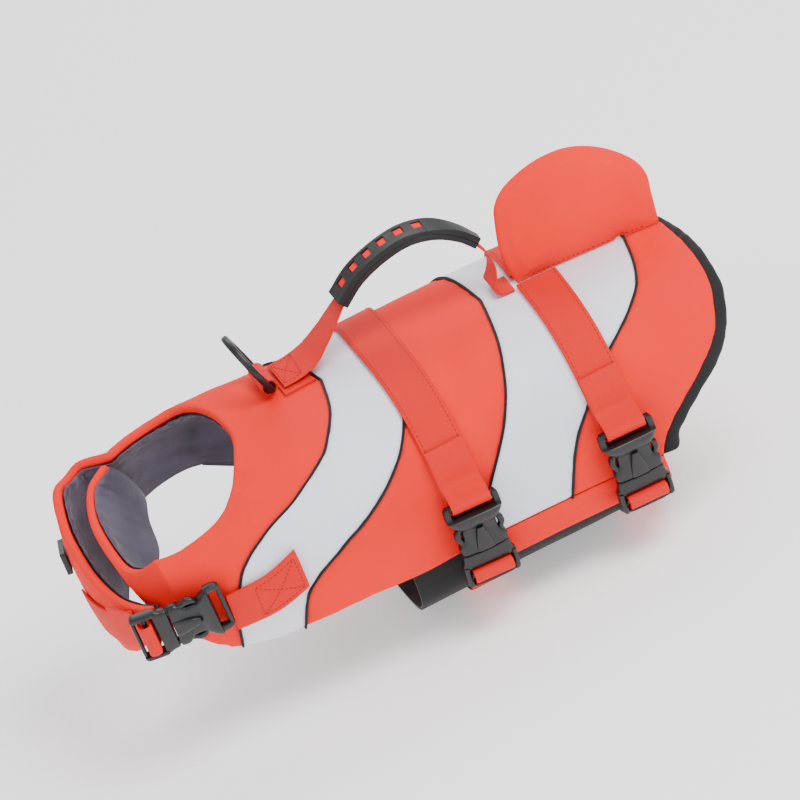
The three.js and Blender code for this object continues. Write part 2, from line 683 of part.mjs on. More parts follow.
const handleLine = [
  { x: -59, y: 27.5, z: 4, width: 40 },
  { x: -52, y: 27.5, z: 4.1, width: 40 },
  { x: -43, y: 27, z: 5.4, width: 40 },
  { x: -31, y: 26, z: 9.5, width: 38 },
  { x: -19, y: 23, z: 19, width: 30 },
  { x: -8, y: 20, z: 29.5, width: 24 },
  { x: 1, y: 18, z: 38, width: 20 },
  { x: 18, y: 16.5, z: 50.5, width: 19 },
  { x: 41, y: 14.5, z: 59, width: 19 },
  { x: 60, y: 12.5, z: 61.4, width: 19 },
  { x: 77, y: 10.5, z: 57.2, width: 18 },
  { x: 91, y: 8.5, z: 47, width: 16 },
  { x: 100, y: 6.5, z: 36, width: 14 },
  { x: 104, y: 5, z: 28, width: 14 },
  { x: 104.5, y: 4, z: 19, width: 19 },
  { x: 101.5, y: 3, z: 11.5, width: 24 },
  { x: 97.5, y: 2, z: 5.5, width: 26 },
  { x: 99.5, y: 2, z: 0.8, width: 26 },
  { x: 105, y: 2, z: -0.6, width: 26 },
  { x: 110, y: 2, z: -0.9, width: 26 },
];
const acrossBack = new THREE.Vector3(0, 1, 0);
const handleCentres = handleLine.map(({ x, y, z }) => new THREE.Vector3(x, y, z + back + 0.9));
addMesh('handle_webbing', ribbon(
  handleCentres,
  handleLine.map(() => acrossBack),
  handleLine.map((row) => row.width),
  webThick,
  2,
), 'webbing');

const grip = { thick: 4.4, slots: 6, slotLong: 6, slotWide: 15 };
const gripCurve = new THREE.CatmullRomCurve3(handleCentres.slice(6, 13), false, 'centripetal');
const gripGeometry = (() => {
  const lift = webThick / 2 + seamGap + grip.thick / 2 + 0.3;
  const steps = 24;
  const centres = [];
  const widths = [];
  for (let i = 0; i <= steps; i += 1) {
    const tangent = gripCurve.getTangent(i / steps);
    const normal = acrossBack.clone().cross(tangent).multiplyScalar(-1).normalize();
    const end = Math.min(i, steps - i);
    centres.push(gripCurve.getPoint(i / steps).addScaledVector(normal, lift));
    widths.push((i < steps * 0.7 ? 23 : 23 - (i - steps * 0.7) * 1.2) - (end < 1 ? 4 : 0));
  }
  return { geometry: ribbon(centres, centres.map(() => acrossBack), widths, grip.thick), centres };
})();
let gripSolid = asManifold(gripGeometry.geometry);
for (let i = 0; i < grip.slots; i += 1) {
  const at = Math.round(2.5 + i * 2.6);
  const centre = gripGeometry.centres[at];
  const ahead = gripGeometry.centres[at + 1].clone().sub(gripGeometry.centres[at - 1]).normalize();
  const up = ahead.clone().cross(acrossBack).normalize();
  const side = up.clone().cross(ahead).normalize();
  const frame = new THREE.Matrix4().makeBasis(ahead, side, up).setPosition(centre);
  const cut = new THREE.BoxGeometry(grip.slotLong, grip.slotWide, grip.thick + 4).applyMatrix4(frame);
  gripSolid = gripSolid.subtract(asManifold(cut));
}
addMesh('handle_grip', fromManifold(gripSolid), 'plastic', 0.6);

// Leash ring on its bar, leaning towards the head, and the webbing tunnel that holds the bar
const ring = { x: -68, y: 27.5, lift: 6.6, half: 25, tall: 42, bar: 3, thick: 5, lean: 18 };
const ringAt = new THREE.Vector3(ring.x, ring.y, onBody(ring.x, ring.y).z + ring.lift);
const ringGeometry = (() => {
  const outline = (inset) => {
    const wide = ring.half - inset;
    const shape = new THREE.Shape();
    shape.moveTo(-wide, inset - ring.bar);
    shape.lineTo(wide, inset - ring.bar);
    shape.lineTo(wide, 14);
    shape.absellipse(0, 14, wide, ring.tall - inset - 14, 0, Math.PI, false, 0);
    shape.lineTo(-wide, inset - ring.bar);
    return shape;
  };
  const whole = outline(0);
  whole.holes.push(outline(2 * ring.bar));
  return new THREE.ExtrudeGeometry(whole, { depth: ring.thick, bevelEnabled: false, curveSegments: 14 });
})();
ringGeometry.translate(0, 0, -ring.thick / 2);
ringGeometry.applyMatrix4(new THREE.Matrix4().makeBasis(
  new THREE.Vector3(0, 1, 0),
  new THREE.Vector3(0, 0, 1),
  new THREE.Vector3(1, 0, 0),
));
ringGeometry.rotateY(-THREE.MathUtils.degToRad(ring.lean));
const ringMesh = addMesh('leash_ring', ringGeometry, 'plastic', 0.45);
ringMesh.position.copy(ringAt);

const tunnel = { inner: 4.4, outer: 5.8, half: 16 };
const tunnelShape = new THREE.Shape();
tunnelShape.absarc(0, 0, tunnel.outer, 0, Math.PI * 2);
const tunnelHole = new THREE.Path();
tunnelHole.absarc(0, 0, tunnel.inner, 0, Math.PI * 2);
tunnelShape.holes.push(tunnelHole);
const tunnelGeometry = new THREE.ExtrudeGeometry(tunnelShape, {
  depth: tunnel.half * 2,
  bevelEnabled: false,
  curveSegments: 8,
});
tunnelGeometry.translate(0, 0, -tunnel.half).rotateX(Math.PI / 2);
const tunnelMesh = addMesh('ring_tunnel', tunnelGeometry, 'webbing');
tunnelMesh.position.copy(ringAt);

// Fin: a padded piece sewn up from the middle of the back
const finTop = [
  [112, 14], [113, 30], [116.5, 45], [121, 58], [130, 67], [143, 72.5], [163, 76], [185, 73],
  [206, 60.5], [222.5, 40.5], [226, 27], [224, 14],
];
const finBase = [
  { x: 220.5, lift: seamGap },
  { x: 200, lift: seamGap },
  { x: 197, lift: strapLift },
  { x: 190, lift: strapLift },
  { x: 187, lift: seamGap },
  { x: 165, lift: seamGap },
  { x: 140, lift: seamGap },
  { x: 114.5, lift: seamGap },
].map(({ x, lift }) => [x, along(topAt, x) + lift]);
const finOutline = [...finTop, ...finBase];
const fin = { centre: [168, 32], half: 7, rings: 4 };
const finGeometry = (() => {
  const points = [];
  const triangles = [];
  const count = finOutline.length;
  const offsets = Array.from({ length: 2 * fin.rings - 1 }, (_, i) => (i + 1) / fin.rings - 1);
  for (const offset of offsets) {
    const scale = Math.sqrt(1 - offset * offset);
    for (const [x, z] of finOutline) {
      points.push(new THREE.Vector3(
        THREE.MathUtils.lerp(fin.centre[0], x, scale),
        offset * fin.half,
        THREE.MathUtils.lerp(fin.centre[1], z, scale) + back,
      ));
    }
  }
  const last = offsets.length - 1;
  for (let i = 0; i < last; i += 1) {
    for (let j = 0; j < count; j += 1) {
      const next = (j + 1) % count;
      const [a, b, c, d] = [i * count + j, i * count + next, (i + 1) * count + next, (i + 1) * count + j];
      triangles.push([a, b, c], [a, c, d]);
    }
  }
  for (const [ringIndex, side] of [[0, -1], [last, 1]]) {
    const pole = points.length;
    points.push(new THREE.Vector3(fin.centre[0], side * fin.half, fin.centre[1] + back));
    for (let j = 0; j < count; j += 1) {
      const next = (j + 1) % count;
      const [a, b] = [ringIndex * count + j, ringIndex * count + next];
      triangles.push(side < 0 ? [pole, b, a] : [pole, a, b]);
    }
  }
  return closedGeometry(points, triangles);
})();
addMesh('fin', finGeometry, 'orange');

// Webbing of the far flap: a tab sewn on its outside, and a loop round the bar of the chest buckle
const flapTab = { rows: 7, rowsLeftFree: 2, width: 27, columns: 4 };
function rowPlace(row, share, width) {
  const steps = row.slice(1).map((point, i) => point.distanceTo(row[i]));
  const length = steps.reduce((sum, step) => sum + step, 0);
  let left = length / 2 + (share - 0.5) * width;
  let i = 0;
  while (i < steps.length - 1 && left > steps[i]) {
    left -= steps[i];
    i += 1;
  }
  return row[i].clone().lerp(row[i + 1], left / steps[i]);
}
const tabLast = coverRows.length - flapTab.rowsLeftFree;
const tabGrid = (lift) => frontGrid(coverRows, lift).slice(tabLast - flapTab.rows, tabLast).map((row) => (
  Array.from({ length: flapTab.columns + 1 }, (_, j) => rowPlace(row, j / flapTab.columns, flapTab.width))
));
addMesh('flap_tab', wallBetween(tabGrid(seamGap + webThick), tabGrid(seamGap)), 'webbing');

const flapLoop = [[5, -45.8, -31.2], [4, -40, -23.6], [3, -34.3, -15.6], [1, -31, -8], [0, -28.6, -0.8],
  [0, -28, 5.5], [0, -27.4, 12], [0, -24, 13.2], [0, -20.6, 12], [0, -20, 5.5], [0, -18.4, -0.4], [0, -14, -1.7],
  [0, -9, -1.7]];
const flapLoopCentres = flapLoop.map((place) => new THREE.Vector3(...place).applyMatrix4(chestFrame));
const chestAcross = new THREE.Vector3().setFromMatrixColumn(chestFrame, 0);
addMesh('flap_loop', ribbon(
  flapLoopCentres,
  flapLoopCentres.map(() => chestAcross),
  flapLoopCentres.map(() => flapTab.width - 1),
  webThick,
  2,
), 'webbing');

// Small moulded keeper on the outside of the far flap
const keeperPlace = { row: coverRows.length - 11, column: 2 };
const keeperAt = frontGrid(coverRows, 2.6)[keeperPlace.row][keeperPlace.column];
const keeperOut = gridNormals(coverRows)[keeperPlace.row][keeperPlace.column];
const keeperAcross = new THREE.Vector3(0, 0, 1).cross(keeperOut).normalize();
const keeperUp = keeperOut.clone().cross(keeperAcross);
const keeper = new THREE.BoxGeometry(24, 17, 4).applyMatrix4(
  new THREE.Matrix4().makeBasis(keeperAcross, keeperUp, keeperOut).setPosition(keeperAt),
);
addMesh('flap_keeper', keeper, 'plastic', 0.45);

export default jacket;
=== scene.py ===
import bpy
import numpy as np
from mathutils import Matrix, Vector


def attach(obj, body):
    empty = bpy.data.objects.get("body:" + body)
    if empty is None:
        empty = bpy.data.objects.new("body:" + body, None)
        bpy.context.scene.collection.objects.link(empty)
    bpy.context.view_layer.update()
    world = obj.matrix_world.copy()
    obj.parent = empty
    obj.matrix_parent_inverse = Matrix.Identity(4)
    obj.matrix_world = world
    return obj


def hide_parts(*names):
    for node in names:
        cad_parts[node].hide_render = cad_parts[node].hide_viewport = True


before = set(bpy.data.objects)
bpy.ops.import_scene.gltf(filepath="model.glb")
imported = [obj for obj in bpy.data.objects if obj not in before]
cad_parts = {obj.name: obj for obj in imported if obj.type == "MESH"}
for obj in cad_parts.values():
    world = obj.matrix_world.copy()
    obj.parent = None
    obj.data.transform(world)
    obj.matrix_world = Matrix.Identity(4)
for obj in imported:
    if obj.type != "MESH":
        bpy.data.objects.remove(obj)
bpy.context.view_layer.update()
print("frame loaded:", len(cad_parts), "parts")

mm = 0.001  # every table below is in millimetres

body = {
    "wall": 7.0, "back": 8.0, "lame": 2 / 3.4, "flankDepth": 88.0, "twistHeight": -70.0,
    "sections": [  # x, half width, top, drop to the widest line, twist
        (-222, 56, -6, 66, 18), (-200, 72, 1, 70, 18), (-172, 86, 2, 74, 17), (-140, 95, 1, 77, 15),
        (-105, 100, 1, 79, 8), (-70, 102, 1, 80, 1), (-20, 103, 1, 80, 0), (60, 103, 0, 80, 0),
        (120, 102, -2, 80, 0), (180, 98, -6, 78, 0), (236, 90, -11, 74, 0)],
    "lowerEdge": [  # x, near girth, far girth
        (-199, 120, 122), (-168, 153, 144), (-124, 169, 152), (-105, 177, 158), (-92, 182, 168),
        (-80, 187, 180), (-60, 191, 190), (-30, 194, 194), (20, 192, 192), (240, 192, 192)],
}
seams = {  # share of the girth, place along the body
    "bandFrontFore": {
        "near": [(0, -35), (0.2, -42), (0.387, -60), (0.447, -74), (0.487, -96), (0.51, -122), (0.55, -140),
                 (0.62, -152), (0.81, -164), (1, -168)],
        "far": [(0, -35), (0.2, -42), (0.36, -54), (0.5, -68), (0.64, -84), (0.78, -102), (0.9, -114),
                (1, -119)]},
    "bandFrontAft": {
        "near": [(0, 8), (0.38, -1), (0.43, -4), (0.53, -16), (0.595, -29), (0.655, -44), (0.716, -63),
                 (0.765, -84), (0.8, -102), (0.86, -115), (1, -125)],
        "far": [(0, 8), (0.38, -1), (0.53, -15), (0.66, -34), (0.8, -58), (1, -76)]},
    "bandRearFore": {
        "near": [(0, 87), (0.14, 84), (0.31, 79), (0.48, 69), (0.61, 56), (0.7, 44), (0.8, 30), (1, 6)]},
    "bandRearAft": {
        "near": [(0, 194), (0.19, 189), (0.32, 182), (0.42, 168), (0.49, 153), (0.56, 136), (0.7, 111),
                 (0.78, 98), (0.86, 89), (1, 77)]},
    "rearEdge": {
        "near": [(0, 222), (0.22, 226), (0.35, 227), (0.43, 226), (0.505, 222), (0.6, 215), (0.74, 192),
                 (0.84, 170), (0.9, 158), (0.94, 152), (1, 146)],
        "far": [(0, 222), (0.08, 218), (0.2, 212), (0.35, 207), (0.5, 204), (0.6, 199), (0.74, 184),
                (0.84, 162), (1, 148)]},
    "bindingEdge": {
        "near": [(0, 227), (0.14, 231.5), (0.31, 234), (0.43, 234), (0.515, 230.5), (0.615, 223),
                 (0.72, 209), (0.82, 187), (0.9, 170), (0.94, 163), (0.97, 161.5), (1, 158)],
        "far": [(0, 227), (0.08, 223), (0.2, 217), (0.35, 212), (0.5, 209), (0.6, 204), (0.72, 194),
                (0.82, 181), (0.92, 164), (1, 154)]},
}


# ---- surfaces ----
def along(rows, at):
    # smooth value between table rows: cubic with harmonic slopes, so it never swings past a row
    rows = np.asarray(rows, float)
    x, y = rows[:, 0], rows[:, 1]
    span = np.diff(x)
    slope = np.diff(y) / span
    product = slope[:-1] * slope[1:]
    total = slope[:-1] + slope[1:]
    inner = np.where(product > 0, 2 * product / np.where(np.abs(total) < 1e-12, 1, total), 0)
    tangent = np.concatenate([slope[:1], inner, slope[-1:]])
    at = np.clip(at, x[0], x[-1])
    i = np.clip(np.searchsorted(x, at, side="right") - 1, 0, len(span) - 1)
    t = (at - x[i]) / span[i]
    rise = (y[i + 1] - y[i]) * t * t * (3 - 2 * t)
    return y[i] + rise + span[i] * (tangent[i] * t * (1 - t) ** 2 - tangent[i + 1] * t * t * (1 - t))


def column(table, number):
    return [(row[0], row[number]) for row in table]


def ease(low, high, value):
    t = np.clip((value - low) / (high - low), 0, 1)
    return t * t * (3 - 2 * t)


# half sections of the worn form as tables of y and z over girth, one for each 2 mm of length
sectionX = np.arange(-260, 262, 2.0)
angles = np.linspace(0, 1, 500) ** 1.8 * 2.5
girthStep = 0.5
girthTable = np.arange(0, 262, girthStep)
cosine = np.cos(angles)
halfY = along(column(body["sections"], 1), sectionX)[:, None] * np.sin(angles) ** body["lame"]
dropZ = along(column(body["sections"], 3), sectionX)[:, None]
topZ = along(column(body["sections"], 2), sectionX)[:, None] + body["back"]
depthZ = np.where(cosine >= 0, dropZ - dropZ * np.abs(cosine) ** body["lame"],
                  dropZ + body["flankDepth"] * np.abs(cosine) ** body["lame"])
halfZ = topZ - depthZ
girths = np.concatenate([np.zeros((len(sectionX), 1)),
                         np.cumsum(np.hypot(np.diff(halfY, axis=1), np.diff(halfZ, axis=1)), axis=1)], axis=1)
tableY = np.stack([np.interp(girthTable, g, y) for g, y in zip(girths, halfY)])
tableZ = np.stack([np.interp(girthTable, g, z) for g, z in zip(girths, halfZ)])


def onBody(x, girth):
    # point of the cover: section table read at x and girth, then turned about the length axis by the twist
    x, girth = np.broadcast_arrays(np.asarray(x, float), np.asarray(girth, float))
    a = np.clip((x - sectionX[0]) / 2, 0, len(sectionX) - 1.001)
    b = np.clip(np.abs(girth) / girthStep, 0, len(girthTable) - 1.001)
    i, j = a.astype(int), b.astype(int)
    s, t = a - i, b - j

    def read(table):
        low = table[i, j] * (1 - t) + table[i, j + 1] * t
        high = table[i + 1, j] * (1 - t) + table[i + 1, j + 1] * t
        return low * (1 - s) + high * s
    y = read(tableY) * np.sign(girth)
    z = read(tableZ) - body["twistHeight"]
    turn = np.radians(along(column(body["sections"], 4), x))
    return np.stack([x, y * np.cos(turn) - z * np.sin(turn),
                     body["twistHeight"] + y * np.sin(turn) + z * np.cos(turn)], -1)


def unit(v):
    return v / np.maximum(np.linalg.norm(v, axis=-1, keepdims=True), 1e-9)


def bodyNormal(x, girth):
    return unit(np.cross(onBody(x + 3, girth) - onBody(x - 3, girth),
                         onBody(x, girth + 3) - onBody(x, girth - 3)))


def over(x, girth, lift):
    lift = np.asarray(lift, float)
    return onBody(x, girth) + bodyNormal(x, girth) * lift[..., None]


def lowerGirth(x, share):
    near = along(column(body["lowerEdge"], 1), x)
    far = along(column(body["lowerEdge"], 2), x)
    return np.where(share < 0, near, far) * share


def seamPlace(name, share):
    seam = seams[name]
    near = along(seam["near"], np.abs(share))
    return np.where(share < 0, near, along(seam.get("far", seam["near"]), np.abs(share)))


def gridNormals(points):
    return unit(np.cross(np.gradient(points, axis=1), np.gradient(points, axis=0)))


def gridDistances(points):
    # running length along each row, from its first and from its last column
    steps = np.linalg.norm(np.diff(points, axis=1), axis=-1)
    first = np.concatenate([np.zeros((len(points), 1)), np.cumsum(steps, axis=1)], axis=1)
    return first, first[:, -1:] - first


def groove(distance, radius):
    # quarter round that falls from a surface to its edge
    left = np.clip(radius - distance, 0, radius)
    return radius - np.sqrt(np.maximum(radius ** 2 - left ** 2, 0))


def smoothPath(points, steps):
    # centripetal curve through points: tangents weigh the neighbours by the root of their distance
    points = np.asarray(points, float)
    p = np.concatenate([[2 * points[0] - points[1]], points, [2 * points[-1] - points[-2]]])
    gap = np.sqrt(np.maximum(np.linalg.norm(np.diff(p, axis=0), axis=-1, keepdims=True), 1e-4))
    before, here, after = gap[:-2], gap[1:-1], gap[2:]
    p0, p1, p2, p3 = p[:-3], p[1:-2], p[2:-1], p[3:]
    start = ((p1 - p0) / before - (p2 - p0) / (before + here) + (p2 - p1) / here) * here
    end = ((p2 - p1) / here - (p3 - p1) / (here + after) + (p3 - p2) / after) * here
    t = np.linspace(0, 1, steps, endpoint=False).reshape((-1,) + (1,) * p1.ndim)
    curve = (p1 + start * t + (-3 * p1 + 3 * p2 - 2 * start - end) * t ** 2
             + (2 * p1 - 2 * p2 + start + end) * t ** 3)
    return np.concatenate([np.moveaxis(curve, 0, 1).reshape((-1,) + points.shape[1:]), points[-1:]])


def waves(a, b, lengths, seed=0.0):
    # slow unevenness: crossed sines of unlike lengths, about 1 high
    value = 0
    for k, size in enumerate(lengths):
        value = value + np.sin(a / size + 1.7 * k + seed + 1.3 * np.sin(b / (size * 1.4) + k)) \
            * np.sin(b / (size * 1.15) + 2.1 * k + seed)
    return value / len(lengths)


def creased(x, girth, table):
    # soft troughs (negative depth) and ridges, each a bell across its line and faded at both ends
    lift = np.zeros(np.broadcast(x, girth).shape)
    for cx, cg, length, turn, depth, width in table:
        c, s = np.cos(np.radians(turn)), np.sin(np.radians(turn))
        run = (x - cx) * c + (girth - cg) * s
        off = -(x - cx) * s + (girth - cg) * c + 0.12 * length * ((2 * run / length) ** 2 - 0.5)
        lift += depth * np.exp(-(off / width) ** 2) * np.clip(1 - (2 * run / length) ** 2, 0, 1) ** 1.5
    return lift


def addMesh(name, points, faces, material, uv=None, sharp=50):
    # closed mesh from points in mm; the faces are turned round if they point inwards
    flat = np.asarray(points, float).reshape(-1, 3)
    triangle = np.array([(f[0], f[1], f[2]) for f in faces])
    volume = np.einsum("ij,ij->i", flat[triangle[:, 0]],
                       np.cross(flat[triangle[:, 1]], flat[triangle[:, 2]])).sum()
    if volume < 0:
        faces = [f[::-1] for f in faces]
    mesh = bpy.data.meshes.new(name)
    mesh.from_pydata((flat * mm).tolist(), [], faces)
    if uv is not None:
        layer = mesh.uv_layers.new(name="cut")
        corner = np.zeros(len(mesh.loops), np.int32)
        mesh.loops.foreach_get("vertex_index", corner)
        layer.data.foreach_set("uv", np.asarray(uv, float).reshape(-1, 2)[corner].ravel())
    mesh.materials.append(material)
    mesh.shade_smooth()
    mesh.set_sharp_from_angle(angle=np.radians(sharp))
    thing = bpy.data.objects.new(name, mesh)
    bpy.context.scene.collection.objects.link(thing)
    return thing


def quadsOf(rows, columns, base=0, wrap=False):
    i, j = np.meshgrid(np.arange(rows - 1), np.arange(columns if wrap else columns - 1), indexing="ij")
    k = (j + 1) % columns
    return (np.stack([i * columns + j, (i + 1) * columns + j, (i + 1) * columns + k, i * columns + k], -1)
            .reshape(-1, 4) + base)


def creasedAt(points, table):
    # troughs along lines between two places on the body: a bell across each, faded at both ends
    lift = np.zeros(points.shape[:-1])
    for x0, girth0, x1, girth1, depth, width in table:
        start, stop = onBody(float(x0), girth0), onBody(float(x1), girth1)
        run = np.clip(((points - start) @ (stop - start)) / ((stop - start) @ (stop - start)), 0, 1)
        off = np.linalg.norm(points - start - run[..., None] * (stop - start), axis=-1)
        lift += depth * np.exp(-(off / width) ** 2) * np.sin(np.pi * np.clip(run, 0.02, 0.98)) ** 0.7
    return lift


def stitchRow(line, normals, pitch=3.7, long=2.6, radius=0.26):
    # beads at even steps along a line: pole, two rings of six, pole
    run = np.concatenate([[0], np.cumsum(np.linalg.norm(np.diff(line, axis=0), axis=-1))])
    stops = np.arange(pitch / 2, run[-1], pitch)
    centre, ahead, up = (np.stack([np.interp(stops, run, v[:, k]) for k in range(3)], -1)
                         for v in (line, np.gradient(line, axis=0), normals))
    ahead, up = unit(ahead), unit(up)
    side = np.cross(ahead, up)
    turn = np.arange(6) * np.pi / 3
    bead = [(-1, 0, 0)] + [(e, np.cos(a), np.sin(a)) for e in (-0.6, 0.6) for a in turn] + [(1, 0, 0)]
    points = np.stack([centre + ahead * e * long / 2 + (side * c + up * s) * radius for e, c, s in bead], 1)
    k = np.arange(6)
    n = (k + 1) % 6
    shape = [[0, 1 + b, 1 + a] for a, b in zip(k, n)] + [[1 + a, 1 + b, 7 + b, 7 + a] for a, b in zip(k, n)] \
        + [[13, 7 + a, 7 + b] for a, b in zip(k, n)]
    return points.reshape(-1, 3), [[int(v) + 14 * i for v in f] for i in range(len(stops)) for f in shape]


def addStitches(name, rows, material):
    points, faces, base = [], [], 0
    for p, f in rows:
        points.append(p)
        faces += [[v + base for v in q] for q in f]
        base += len(p)
    piece = addMesh(name, np.concatenate(points), faces, material)
    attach(piece, "jacket")
    return piece


def shell(name, outer, inner, material, sharp=50):
    # closed wall between two grids; the rim of both is joined by four strips
    rows, columns = outer.shape[:2]
    count = rows * columns
    top = quadsOf(rows, columns)
    under = quadsOf(rows, columns, count)[:, ::-1]
    index = np.arange(count).reshape(rows, columns)
    rim = np.concatenate([index[0, :-1], index[:-1, -1], index[-1, :0:-1], index[:0:-1, 0]])
    turn = np.roll(rim, -1)
    side = np.stack([rim, turn, turn + count, rim + count], -1)
    faces = np.concatenate([top, under, side]).tolist()
    first, _ = gridDistances(outer)
    down, _ = gridDistances(np.swapaxes(outer, 0, 1))
    uv = np.stack([first, down.T], -1) / 10
    return addMesh(name, np.concatenate([outer.reshape(-1, 3), inner.reshape(-1, 3)]), faces, material,
                   np.concatenate([uv.reshape(-1, 2), uv.reshape(-1, 2)]), sharp)


def ribbonGrids(centres, sides, widths, thick, steps, curl=0.0):
    # webbing: a flat section carried along a smooth line; its edges are rounded off
    centres, sides = np.asarray(centres, float), np.asarray(sides, float)
    line = smoothPath(centres, steps)
    place = np.arange(len(line)) / steps
    index = np.arange(len(centres))
    side = np.stack([np.interp(place, index, sides[:, k]) for k in range(3)], -1)
    tangent = unit(np.gradient(line, axis=0))
    side = unit(side - tangent * np.sum(side * tangent, -1, keepdims=True))
    normal = np.cross(side, tangent)
    width = np.interp(place, index, np.asarray(widths, float))
    share = np.array([-0.5, -0.485, -0.44, -0.3, -0.1, 0.1, 0.3, 0.44, 0.485, 0.5])
    half = thick / 2 * np.array([0.35, 0.75, 1, 1, 1, 1, 1, 1, 0.75, 0.35])
    bow = curl * (1 - (2 * share) ** 2)
    flat = line[:, None] + side[:, None] * (share[None, :, None] * width[:, None, None])
    grid = [flat + normal[:, None] * (bow + s * half)[None, :, None] for s in (1, -1)]
    return grid[0], grid[1], line, side, normal


def loft(table, around=20, fine=4, power=2.6):
    # solid carried along y: rounded sections from a table of y, centre x, half width, low z, high z
    table = np.asarray(table, float)
    index = np.arange(len(table))
    place = np.linspace(0, len(table) - 1, (len(table) - 1) * fine + 1)
    y, x, half, low, high = (along(np.stack([index, table[:, k]], 1), place) for k in range(5))
    turn = np.linspace(0, 2 * np.pi, around, endpoint=False)
    c, s = np.cos(turn), np.sin(turn)
    across = np.sign(c) * np.abs(c) ** (2 / power)
    upward = np.sign(s) * np.abs(s) ** (2 / power)
    points = np.stack([x[:, None] + half[:, None] * across, np.broadcast_to(y[:, None], (len(y), around)),
                       (low + high)[:, None] / 2 + (high - low)[:, None] / 2 * upward], -1)
    faces = quadsOf(len(y), around, wrap=True).tolist()
    faces += [list(range(around)), list(range((len(y) - 1) * around, len(y) * around))[::-1]]
    return points.reshape(-1, 3), faces


def joined(name, solids, material, matrix=None, sharp=35):
    # several closed solids as one piece, each turned outwards by itself
    points, faces, base = [], [], 0
    for p, f in solids:
        volume = sum(np.dot(p[q[0]], np.cross(p[q[a]], p[q[a + 1]])) for q in f for a in range(1, len(q) - 1))
        f = f if volume > 0 else [q[::-1] for q in f]
        points.append(p)
        faces += [[v + base for v in q] for q in f]
        base += len(p)
    flat = np.concatenate(points)
    if matrix is not None:
        flat = flat @ matrix[:3, :3].T + matrix[:3, 3]
    return addMesh(name, flat, faces, material, None, sharp)


# ---- materials ----
def linear(code):
    values = [int(code[i:i + 2], 16) / 255 for i in (1, 3, 5)]
    return tuple(v / 12.92 if v <= 0.04045 else ((v + 0.055) / 1.055) ** 2.4 for v in values) + (1.0,)


def addNode(tree, kind, **values):
    made = tree.nodes.new(kind)
    for key, value in values.items():
        if hasattr(made, key):
            setattr(made, key, value)
        else:
            made.inputs[key.replace("_", " ")].default_value = value
    return made


def startMaterial(name, roughness, ior, sheen=0.0):
    material = bpy.data.materials.new(name)
    material.use_nodes = True
    tree = material.node_tree
    shader = tree.nodes["Principled BSDF"]
    shader.inputs["Roughness"].default_value = roughness
    shader.inputs["IOR"].default_value = ior
    shader.inputs["Specular IOR Level"].default_value = 0.35 if roughness > 0.45 else 0.5
    shader.inputs["Sheen Weight"].default_value = sheen
    shader.inputs["Sheen Roughness"].default_value = 0.4
    return material, tree, shader


def mixColours(tree, factor, first, second):
    mix = addNode(tree, "ShaderNodeMix", data_type="RGBA")
    tree.links.new(factor, mix.inputs["Factor"])
    mix.inputs[6].default_value = first
    mix.inputs[7].default_value = second
    return mix.outputs[2]


def clothMaterial(name, look):
    # plain weave on the cut's own flat coordinates, with slow colour variation and soft fold shading
    material, tree, shader = startMaterial(name, look["roughness"], 1.46, look["sheen"])
    uv = addNode(tree, "ShaderNodeUVMap", uv_map="cut").outputs["UV"]
    here = addNode(tree, "ShaderNodeTexCoord").outputs["Object"]
    slow = addNode(tree, "ShaderNodeTexNoise", Scale=look["patch"], Detail=3.0, Roughness=0.55)
    tree.links.new(here, slow.inputs["Vector"])
    ramp = addNode(tree, "ShaderNodeMapRange", From_Min=0.3, From_Max=0.7)
    tree.links.new(slow.outputs["Fac"], ramp.inputs["Value"])
    tree.links.new(mixColours(tree, ramp.outputs["Result"], linear(look["dark"]), linear(look["light"])),
                   shader.inputs["Base Color"])
    warp = addNode(tree, "ShaderNodeTexWave", bands_direction="X", Scale=look["threads"], Distortion=0.4)
    weft = addNode(tree, "ShaderNodeTexWave", bands_direction="Y", Scale=look["threads"], Distortion=0.4)
    tree.links.new(uv, warp.inputs["Vector"])
    tree.links.new(uv, weft.inputs["Vector"])
    weave = addNode(tree, "ShaderNodeMath", operation="MULTIPLY")
    tree.links.new(warp.outputs["Fac"], weave.inputs[0])
    tree.links.new(weft.outputs["Fac"], weave.inputs[1])
    fine = addNode(tree, "ShaderNodeBump", Strength=look["weave"], Distance=0.0002)
    tree.links.new(weave.outputs["Value"], fine.inputs["Height"])
    folds = addNode(tree, "ShaderNodeTexNoise", Scale=look["folds"], Detail=2.0, Distortion=0.6)
    tree.links.new(here, folds.inputs["Vector"])
    soft = addNode(tree, "ShaderNodeBump", Strength=look["foldDepth"], Distance=0.002)
    tree.links.new(folds.outputs["Fac"], soft.inputs["Height"])
    tree.links.new(fine.outputs["Normal"], soft.inputs["Normal"])
    tree.links.new(soft.outputs["Normal"], shader.inputs["Normal"])
    return material


